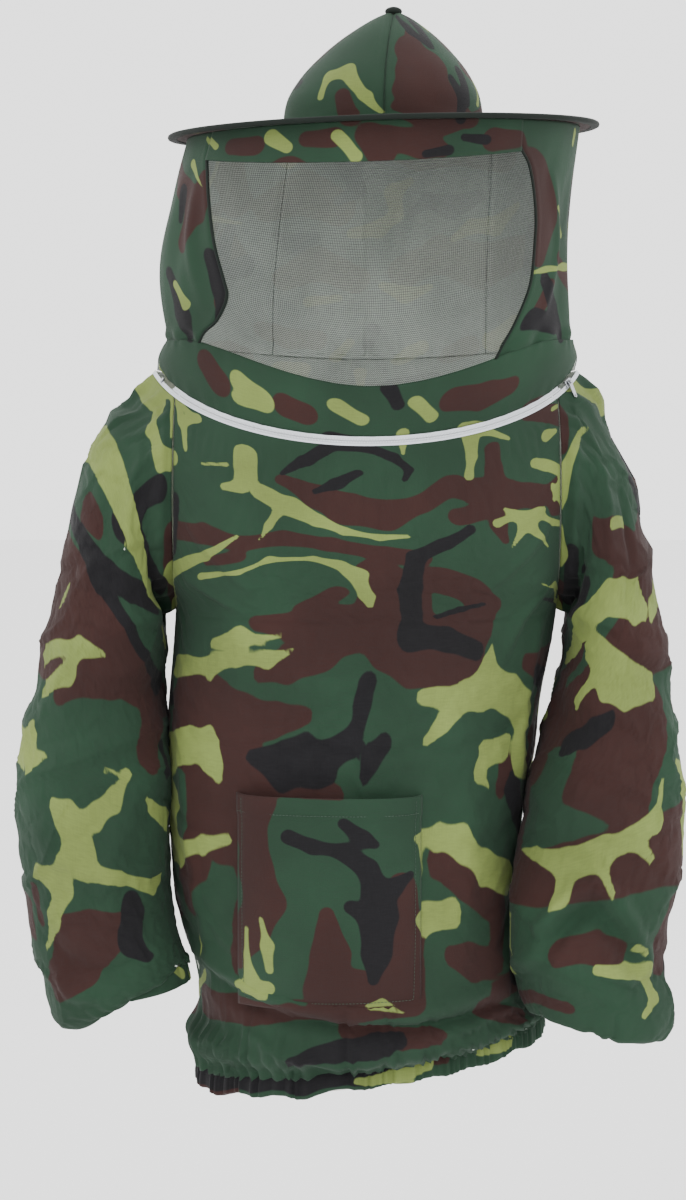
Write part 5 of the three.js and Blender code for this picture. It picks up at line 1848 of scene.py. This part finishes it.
    def build(self) -> None:
        """Makes the brim, the binding, the crown and the sweatband."""
        centre = tuple(self.place(np.array([0.0, 0.0, -0.3])))
        below = tuple(self.place(np.array([0.0, 0.0, 0.3])))
        ring = 2 * math.pi * 0.16
        for name, node, height, inside in (
            ("upper_brim_cloth", "brim_upper_ply", 0.0014, centre),
            ("lower_brim_cloth", "brim_lower_ply", -0.0014, below),
        ):
            ply = Cloth(name, self.ply(height), inside, 260, 70, ring * 1.28, 0.119, closed=True,
                        thickness=0.0012,
                        relief=self.ply_relief)
            ply.make(Sewing([node], "hood", "stretched", ["white_zip_tape_hood"]))
        tape = Cloth("rim_binding_tape", self.binding, centre, 320, 22, 2 * math.pi * self.brim_radius,
                     0.024,
                     closed=True, thickness=0.0007, finishes=(PIPING,))
        tape.make(Sewing(["rim_binding"], "hood", "folded", ["upper_brim_cloth"], "dark_binding"))
        names = ("front_left", "back_left", "back_right", "front_right")
        for i, name in enumerate(names):
            crown = tuple(self.place(np.array([0.0, 0.0, 0.03])))
            gore = Cloth(f"{name}_crown_cloth", self.gore(90 * i), crown, 64, 76, math.pi / 2
                         * self.crown_radius,
                         0.168, thickness=0.0011, relief=self.gore_relief)
            gore.make(Sewing([f"crown_gore_{name}"], "hood", "stretched", ["upper_brim_cloth"]))
        crown = tuple(self.place(np.array([0.0, 0.0, 0.02])))
        inner = Cloth("sweatband_tape", self.band, crown, 160, 10, 2 * math.pi * self.band_radius,
                      self.band_height, closed=True,
                      thickness=0.0012, finishes=(PIPING,))
        inner.make(Sewing(["sweatband"], "hood", "stretched", ["upper_brim_cloth"], "dark_binding"))
        self.button()


HAT = Hat()


@dataclass(frozen=True)
class Hood:
    """The veil: visor band, net window and side and back panels, and the yoke that it hangs over."""

    radius: float = 0.194
    foot_half_width: float = 0.200
    foot_front: float = 0.127
    foot_back: float = 0.113
    visor_depth: float = 0.038
    visor_ends: tuple[float, float] = (-58.0, 42.0)  # degrees from the front
    left_seam: float = 143.0  # between the left and back panels
    right_seam: float = 210.0  # between the back and right panels
    window_rows: tuple[float, ...] = (0.0, 0.116, 0.19, 0.40, 0.51, 0.63, 0.70, 0.84, 0.926, 1.0)
    window_right: tuple[float, ...] = (-58, -58, -56, -50.7, -47.7, -43.9, -42.6, -47.1, -53.3, -57)
    window_left: tuple[float, ...] = (38, 42, 46.3, 51.5, 52, 51.5, 50, 44, 39.5, 36)

    def foot(self, turn: Array) -> Array:
        """The veil's lower edge, for degrees from the front.

        Args:
            turn: Degrees from the front.

        Returns:
            The points.
        """
        away = np.abs((turn + 180) % 360 - 180)
        low = lerp(-0.018, 0.026, smooth(away / 64))
        high = lerp(0.026, 0.010, smooth((away - 90) / 90))
        angle = np.radians(turn)
        depth = np.where(np.cos(angle) > 0, self.foot_front, self.foot_back)
        z = np.where(away < 90, low, high)
        return stack(0.004 + self.foot_half_width * np.sin(angle), -depth * np.cos(angle), z)

    def top(self, turn: Array) -> Array:
        """The veil's upper edge, under the brim."""
        angle = np.radians(turn)
        z = HAT.level(self.radius) - 0.00255
        return HAT.place(stack(self.radius * np.sin(angle), -self.radius * np.cos(angle), z))

    def wall(self, turn: Array, down: Array) -> Array:
        """Points of the hanging veil, for degrees from the front and shares down.

        Args:
            turn: Degrees from the front.
            down: Shares down the veil.

        Returns:
            The points.
        """
        top, foot = self.top(turn), self.foot(turn)
        angle = np.radians(turn)
        out = level_out(angle)
        swell = ((-9 * np.sin(angle) + 3) * MM)[:, None]
        upper = lerp(top, foot, np.full(len(turn), 0.34)) + out * swell
        lower = lerp(top, foot, np.full(len(turn), 0.7)) + out * swell * 1.2
        return spline(np.stack([top, upper, lower, foot]), down)

    def edge(self, side: float, down: Array) -> Array:
        """Degrees at which the net window ends, on the wearer's right (-1) or left (1).

        Args:
            side: -1 on the wearer's right, 1 on the left.
            down: Shares down the veil.

        Returns:
            The degrees.
        """
        angles = self.window_left if side > 0 else self.window_right
        fine = np.linspace(0, 1, 200)
        curve = spline(knots_for([(a, r * 100, 0) for a, r in zip(angles, self.window_rows)], 200), fine)
        return np.interp(down, curve[:, 1] / 100, curve[:, 0])

    def visor_foot(self, turn: Array) -> Array:
        """Share down the veil at which the visor band ends."""
        length = np.linalg.norm(self.top(turn) - self.foot(turn), axis=-1)
        return self.visor_depth / length * (1 - 0.3 * ((turn + 4) / 54) ** 2)

    def visor(self, u: Array, v: Array) -> Array:
        """The form of the visor band.

        Args:
            u: Shares across the cloth.
            v: Shares down the cloth.

        Returns:
            The points.
        """
        turn = lerp(*self.visor_ends, u)
        down = v * self.visor_foot(turn)
        wall = self.wall(turn, down)
        angle = np.radians(turn)
        out = level_out(angle)
        return wall + out * (0.0006 + 0.0014 * v)[:, None]

    def window(self, u: Array, v: Array) -> Array:
        """The form of the net window.

        Args:
            u: Shares across the cloth.
            v: Shares down the cloth.

        Returns:
            The points.
        """
        rough = lerp(-58.0, 50.0, u)
        start = self.visor_foot(rough) * 0.93
        down = lerp(start, 0.995, v)
        turn = lerp(self.edge(-1, down), self.edge(1, down), u)
        return self.wall(turn, down)

    def panel(self, start: Callable[[Array], Array], end: Callable[[Array], Array]) -> Surface:
        """The form of a cloth panel of the veil between two edges.

        Args:
            start: Degrees of the first edge, for shares down.
            end: Degrees of the last edge, for shares down.

        Returns:
            The form, as a function of shares across and down.
        """

        def surface(u: Array, v: Array) -> Array:
            """Points of the form."""
            turn = lerp(start(v), end(v), u)
            return self.wall(turn, v)

        return surface

    def panel_relief(self, u: Array, v: Array, cloth: LaidCloth) -> Array:
        """Long soft folds that hang from the brim, and turned seams at the panel's sides.

        Args:
            u: Shares across the cloth.
            v: Shares down the cloth.
            cloth: The laid cloth.

        Returns:
            The heights along the normals.
        """
        turn = np.degrees(np.arctan2(cloth.points[:, 0], -cloth.points[:, 1]))
        down = smooth(v / 0.3) * smooth((1 - v) / 0.08)
        long = 0.006 * noise(turn / 17, v * 1.6, 41) + 0.0035 * noise(turn / 8, v * 2.6 + 7, 43)
        edge = np.minimum(u, 1 - u) * self.radius * 1.4
        seam = -0.0011 * np.exp(-((edge / 0.002) ** 2)) + 0.0006 * np.exp(-(((edge - 0.006) / 0.002) ** 2))
        foot = 0.0025 * np.exp(-(((v - 0.95) / 0.035) ** 2)) * np.sin(turn * 0.55 + 3
                                                                      * noise(turn / 11, v, 5))
        return long * down * smooth(edge / 0.03) + seam + foot

    def window_relief(self, u: Array, v: Array, cloth: LaidCloth) -> Array:
        """Slight slackness of the net."""
        inner = smooth(np.minimum(u, 1 - u) / 0.12) * smooth(np.minimum(v, 1 - v) / 0.1)
        return inner * (0.003 * noise(u * 3, v * 2, 51) + 0.0015 * noise(u * 7, v * 4, 52))

    def yoke(self, side: int) -> Surface:
        """The form of the yoke between the veil's foot and the zip, in front or behind.

        Args:
            side: FRONT or BACK.

        Returns:
            The form, as a function of shares across and down.
        """
        arc = FRONT_NECK if side == FRONT else BACK_NECK
        below = -ZIP_EDGE if side == FRONT else -CLOTH_GAP / 2

        def surface(u: Array, v: Array) -> Array:
            """Points of the form."""
            share = 2 * u - 1
            turn = 90 * share if side == FRONT else 180 - 90 * share
            angle = np.radians(turn)
            upper = self.foot(turn) + stack(0.0016 * np.sin(angle), -0.0016 * np.cos(angle), 0.0045)
            lower = arc.point(share * 0.99, below)
            return lerp(upper, lower, v)

        return surface

    def yoke_relief(self, u: Array, v: Array, cloth: LaidCloth) -> Array:
        """Small puckers at the yoke's two seams.

        Args:
            u: Shares across the cloth.
            v: Shares down the cloth.
            cloth: The laid cloth.

        Returns:
            The points.
        """
        pucker = np.sin(u * 150 + 4 * noise(u * 14, v, 61)) * (0.6 + 0.4 * noise(u * 30, 0 * u, 62))
        ends = np.exp(-((v / 0.16) ** 2)) + np.exp(-(((1 - v) / 0.2) ** 2))
        bow = 0.0035 * np.sin(math.pi * v)
        return 0.0009 * pucker * ends + bow + 0.002 * noise(u * 9, v * 2, 63) * np.sin(math.pi * v)

    def strip(self, side: float, half: float) -> Surface:
        """The form of the tape that covers the seam beside the window.

        Args:
            side: -1 on the wearer's right, 1 on the left.
            half: Half the angle that it covers.

        Returns:
            The form, as a function of shares across and down.
        """

        def surface(u: Array, v: Array) -> Array:
            """Points of the form."""
            down = lerp(0.10, 0.985, v)
            turn = self.edge(side, down) + np.degrees(half * (2 * u - 1) / self.radius)
            wall = self.wall(turn, down)
            angle = np.radians(turn)
            out = level_out(angle)
            return wall + out * (0.0016 - 0.0010 * (2 * u - 1) ** 2)[:, None]

        return surface

    def build(self) -> None:
        """Makes the veil and the yoke."""
        middle = (0.008, 0.0, 0.12)
        low = (0.0, 0.0, -0.1)
        rest = "lower_brim_cloth"
        visor = Cloth("visor_cloth", self.visor, middle, 120, 26, 0.345, 0.041, thickness=0.0008)
        visor.make(Sewing(["veil_visor_band"], "hood", rests_on=[rest]))
        net = Cloth("face_net", self.window, middle, 90, 84, 0.34, 0.205, thickness=0.0005,
                    relief=self.window_relief, finishes=(NET,), creases=NET_CREASES)
        net.make(Sewing(["veil_face_mesh"], "hood", rests_on=["visor_cloth"], slot="face_mesh"))
        sides = (
            ("left_veil_cloth", "veil_side_left", lambda v: self.edge(1, v), lambda v: self.left_seam + 0
             * v, 0.33),
            ("back_veil_cloth", "veil_back", lambda v: self.left_seam + 0 * v, lambda v: self.right_seam
             + 0 * v, 0.235),
            ("right_veil_cloth", "veil_side_right", lambda v: self.right_seam + 0 * v, lambda v: 360
             + self.edge(-1, v), 0.33),
        )
        for name, node, start, end, width in sides:
            panel = Cloth(name, self.panel(start, end), middle, 110, 96, width, 0.232,
                          relief=self.panel_relief,
                          creases=VEIL_CREASES)
            panel.make(Sewing([node], "hood", rests_on=[rest]))
        for name, side in (("right", -1), ("left", 1)):
            tape = Cloth(f"{name}_window_tape", self.strip(side, 0.0022), middle, 8, 90, 0.0048, 0.2,
                         thickness=0.0007, finishes=(PIPING,))
            tape.make(Sewing([], "hood", rests_on=["face_net"], slot="dark_binding"))
        front = Cloth("yoke_front_cloth", self.yoke(FRONT), low, 170, 22, 0.53, 0.062,
                      relief=self.yoke_relief)
        front.make(Sewing(["yoke_front"], "hood", rests_on=["left_veil_cloth"]))
        back = Cloth("yoke_back_cloth", self.yoke(BACK), low, 150, 22, 0.49, 0.045, relief=self.yoke_relief)
        near, far = (0.0, 0.117, -0.030), (0.0, 0.117, 0.004)
        back.make(Sewing(["yoke_back"], "hood", rests_on=["back_veil_cloth"],
                         blend=("jacket", "hood", near, far)))


NET_CREASES = [
    Crease([(-90, 200), (-78, 150), (-96, 90)], 0.010, 0.003),
    Crease([(138, 176), (122, 120), (128, 60)], 0.010, 0.003),
]
VEIL_CREASES = [
    Crease([(-168, 190), (-176, 130), (-166, 70)], 0.009, 0.004),
    Crease([(186, 190), (190, 120), (176, 60)], 0.009, 0.004),
]


# ---- The zip and the small hard parts ----------------------------------------------------------------
def finished_piece(
    mesh: bmesh.types.BMesh, name: str, finish: Finish, body: str, nodes: Sequence[str], slot: str
) -> bpy.types.Object:
    """Turns a built mesh into a finished piece.

    Args:
        mesh: The built mesh, which is freed.
        name: The piece's name.
        finish: Its finish.
        body: The body that it rides on.
        nodes: The plain nodes that it replaces.
        slot: Its material slot; not used.

    Returns:
        The piece.
    """
    mesh.normal_update()
    for face in mesh.faces:
        face.smooth = True
    data = bpy.data.meshes.new(name)
    mesh.to_mesh(data)
    mesh.free()
    data.materials.append(material_of(finish))
    piece = bpy.data.objects.new(name, data)
    bpy.context.scene.collection.objects.link(piece)
    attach(piece, body)
    if nodes:
        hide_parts(*nodes)
    log.info("%s: %d faces", name, len(data.polygons))
    return piece


@dataclass(frozen=True)
class Zip:
    """The zip round the front of the neckline: two tapes, two rows of teeth and the slider."""

    split: float = 0.0002
    shows: float = 0.0046
    tape: float = 0.0009
    jacket_half: float = math.radians(73)
    hood_half: float = math.radians(60)
    teeth_half: float = math.radians(65.4)
    pitch: float = 0.0015

    def strip(self, half: float, way: int) -> Surface:
        """The form of one tape.

        Args:
            half: Half the angle that it covers.
            way: 1 on the jacket, -1 on the hood.

        Returns:
            The form, as a function of shares across and down.
        """

        def surface(u: Array, v: Array) -> Array:
            """Points of the form."""
            at, down, face = FRONT_NECK.frame(half * (2 * u - 1))
            across = lerp(self.split, self.shows, v)[:, None]
            weave = (0.00008 * np.sin(v * 24))[:, None]
            return at + down * across * way + face * weave

        return surface

    def teeth(self, name: str, node: str, body: str, half: float, way: int) -> None:
        """One row of moulded teeth, half a pitch out of step with the other row.

        Args:
            name: The piece's name.
            node: The plain node that it replaces.
            body: The body that it rides on.
            half: Half the angle that it covers.
            way: 1 on the jacket, -1 on the hood.
        """
        block = bmesh.new()
        bmesh.ops.create_cube(block, size=1.0)
        bmesh.ops.scale(block, verts=block.verts, vec=(0.00085, 0.0019, 0.0011))
        bmesh.ops.bevel(block, geom=block.edges, affect="EDGES", offset=0.00022, segments=1, profile=0.5,
                        material=-1)
        tooth = bpy.data.meshes.new("tooth")
        block.to_mesh(tooth)
        block.free()
        count = int(2 * half * FRONT_NECK.radius / self.pitch)
        mesh = bmesh.new()
        for i in range(count):
            angle = half * (2 * (i + (0.25 if way > 0 else 0.75)) / count - 1)
            at, down, face = (part[0] for part in FRONT_NECK.frame(np.array([angle])))
            place = at + down * way * 0.00115 + face * 0.00095
            along = np.cross(down, face)
            turn = Matrix([list(row) for row in np.stack([along, down, face], axis=1)]).to_4x4()
            start = len(mesh.verts)
            mesh.from_mesh(tooth)
            mesh.verts.ensure_lookup_table()
            moved = mesh.verts[start:]
            bmesh.ops.transform(mesh, matrix=Matrix.Translation(Vector(place)) @ turn, verts=moved)
        bpy.data.meshes.remove(tooth)
        bmesh.ops.recalc_face_normals(mesh, faces=mesh.faces)
        finished_piece(mesh, name, ZIP_TEETH, body, [node], "white_teeth")

    def build(self) -> None:
        """Makes the tapes and the teeth."""
        middle = tuple(FRONT_NECK.centre - FRONT_NECK.normal * 0.3)
        for name, body, half, way, rest in (
            ("jacket", "jacket", self.jacket_half, 1, "front_body_cloth"),
            ("hood", "hood", self.hood_half, -1, "yoke_front_cloth"),
        ):
            width = 2 * half * FRONT_NECK.radius
            tape = Cloth(f"white_zip_tape_{name}", self.strip(half, way), middle, 240, 8, width,
                         self.shows - self.split, thickness=self.tape, finishes=(ZIP_TAPE,))
            tape.make(Sewing([f"zip_tape_{name}"], body, rests_on=[rest], slot="white_tape"))
        self.teeth("jacket_zip_teeth", "zip_teeth_jacket", "jacket", self.teeth_half, 1)
        self.teeth("hood_zip_teeth", "zip_teeth_hood", "hood", self.hood_half, -1)


KEPT = {
    "zip_slider": (NICKEL, 0.0003),
    "zip_pull_pin": (NICKEL, 0.0002),
    "zip_pull_tab": (NICKEL, 0.0003),
    "zip_stop_left": (NICKEL, 0.0002),
    "zip_stop_right": (NICKEL, 0.0002),
    "rim_hoop": (WIRE, 0.0),
    "hem_elastic": (ELASTIC_FINISH, 0.0),
    "cuff_elastic_left": (ELASTIC_FINISH, 0.0),
    "cuff_elastic_right": (ELASTIC_FINISH, 0.0),
}
KEPT_SLOTS = {NICKEL.name: "nickel", WIRE.name: "spring_wire", ELASTIC_FINISH.name: "elastic"}


def dress_kept_parts() -> None:
    """Gives the small hard parts their metal and rounds their corners; elastics and wire keep their form."""
    for node, (finish, round_) in KEPT.items():
        plain = frame["nodes"][node]
        if not round_:
            plain.data.materials.clear()
            plain.data.materials.append(material_of(finish))
            continue
        mesh = bmesh.new()
        mesh.from_mesh(plain.data)
        bmesh.ops.remove_doubles(mesh, verts=mesh.verts, dist=1e-6)
        bmesh.ops.dissolve_limit(mesh, angle_limit=0.02, verts=mesh.verts, edges=mesh.edges)
        sharp = [edge for edge in mesh.edges if edge.is_manifold and edge.calc_face_angle(0) > 0.6]
        bmesh.ops.bevel(mesh, geom=sharp, affect="EDGES", offset=round_, segments=2, profile=0.5,
                        material=-1)
        for face in mesh.faces:
            face.material_index = 0
        body = plain["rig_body"]
        piece = finished_piece(mesh, f"rounded_{node}", finish, body, [node], KEPT_SLOTS[finish.name])
        for polygon in piece.data.polygons:
            polygon.use_smooth = False


# ---- Stitching ------------------------------------------------------------------------------------------
@dataclass(frozen=True)
class Seam:
    """A row of stitches along a line on a cloth's form."""

    name: str
    surface: Surface
    inside: Point
    line: Sequence[tuple[float, float]]  # places on the cloth as shares across and down
    body: str
    step: float = 0.0034
    length: float = 0.0024
    thread: float = 0.00032
    lift: float = 0.0003
    relief: Callable[[Array, Array, LaidCloth], Array] | None = None
    creases: Sequence[Crease] = ()

    def build(self) -> None:
        """Makes the row as one piece."""
        line = np.array(self.line, float)
        fine = np.linspace(0, 1, 900)
        u, v = (np.interp(fine, np.linspace(0, 1, len(line)), line[:, i]) for i in range(2))
        cloth = Cloth(self.name, self.surface, self.inside, 2, 2, 1.0, 1.0)
        laid = cloth.laid(u, v)
        rise = np.full(len(u), self.lift)
        if self.relief:
            rise = rise + self.relief(u, v, laid)
        points = laid.points + laid.normals * rise[:, None]
        run = np.concatenate([[0], np.cumsum(np.linalg.norm(np.diff(points, axis=0), axis=1))])
        mesh = bmesh.new()
        for start in np.arange(0, run[-1] - self.length, self.step):
            ends = [
                np.array([np.interp(start + gap, run, points[:, i]) for i in range(3)]) for gap in (0, self.length)
            ]
            near = int(np.searchsorted(run, start))
            up = laid.normals[min(near, len(run) - 1)]
            along = unit(ends[1] - ends[0])
            across = unit(np.cross(up, along))
            rings = []
            for share, size in ((0.0, 0.4), (0.2, 1.0), (0.8, 1.0), (1.0, 0.4)):
                middle = ends[0] + (ends[1] - ends[0]) * share
                corners = ((1, 0), (0, 1), (-1, 0), (0, -1))
                rings.append(
                    [mesh.verts.new(middle + (across * x + up * y) * self.thread * size) for x,
                     y in corners]
                )
            for a, b in zip(rings[:-1], rings[1:]):
                for i in range(4):
                    mesh.faces.new((a[i], a[(i + 1) % 4], b[(i + 1) % 4], b[i]))
            mesh.faces.new(rings[0][::-1])
            mesh.faces.new(rings[-1])
        bmesh.ops.recalc_face_normals(mesh, faces=mesh.faces)
        finished_piece(mesh, self.name, THREAD, self.body, [], "camouflage_cloth")


def sew_seams(jacket: Jacket) -> None:
    """Adds the rows of stitches that show.

    Args:
        jacket: The jacket with the pocket.
    """
    front = (0.0, 0.0, -0.35)
    side, foot = jacket.stitch_inset / jacket.pocket_width, 1 - jacket.stitch_inset / jacket.pocket_depth
    pocket = {"surface": jacket.pocket_surface, "inside": front, "body": "jacket",
              "relief": jacket.pocket_relief}
    around = [(side, 0.02), (side, foot), (1 - side, foot), (1 - side, 0.02)]
    Seam("pocket_edge_stitches", line=around, **pocket).build()
    mouth = 0.017 / jacket.pocket_depth
    Seam("pocket_mouth_stitches", line=[(0.02, mouth), (0.98, mouth)], **pocket).build()


# ---- The studio --------------------------------------------------------------------------------------------
def build_studio() -> None:
    """A pale plain floor, soft light and the camera."""
    scene = bpy.context.scene
    bpy.ops.mesh.primitive_plane_add(size=24, location=(0, 4, -1.25))
    floor = bpy.context.object
    floor.name = "floor"
    paint, _, shader = new_material("floor_paint")
    shader.inputs["Base Color"].default_value = (0.9, 0.9, 0.9, 1)
    shader.inputs["Roughness"].default_value = 0.8
    floor.data.materials.append(paint)
    world = bpy.data.worlds.new("studio")
    world.use_nodes = True
    world.node_tree.nodes["Background"].inputs[0].default_value = (1, 1, 1, 1)
    world.node_tree.nodes["Background"].inputs[1].default_value = 2.3
    scene.world = world
    for name, at, size, power in (
        ("key", (-1.4, -2.6, 2.0), 1.6, 38),
        ("fill", (1.9, -2.2, 0.8), 1.8, 16),
        ("rim", (0.6, 2.4, 1.9), 1.6, 22),
    ):
        light = bpy.data.lights.new(name, "AREA")
        light.size = size
        light.energy = power
        lamp = bpy.data.objects.new(name, light)
        lamp.location = at
        lamp.rotation_euler = (Vector((0, 0, -0.25)) - Vector(at)).to_track_quat("-Z", "Y").to_euler()
        scene.collection.objects.link(lamp)
    camera = bpy.data.cameras.new("camera")
    camera.sensor_fit = "VERTICAL"
    camera.sensor_height = 36
    camera.lens = 90
    eye = bpy.data.objects.new("camera", camera)
    eye.location = (-0.023, -VIEW_DISTANCE, 0.033)
    eye.rotation_euler = (Vector((-0.023, 0, -0.230)) - eye.location).to_track_quat("-Z", "Y").to_euler()
    scene.collection.objects.link(eye)
    scene.camera = eye


def main() -> None:
    """Builds the finished jacket in order and lights it."""
    logging.basicConfig(level=logging.INFO, format="%(message)s")
    jacket = Jacket()
    jacket.build()
    for sleeve in (RIGHT_SLEEVE, LEFT_SLEEVE):
        sleeve.build()
    Hood().build()
    HAT.build()
    Zip().build()
    dress_kept_parts()
    sew_seams(jacket)
    build_studio()


if __name__ == "__main__":
    main()
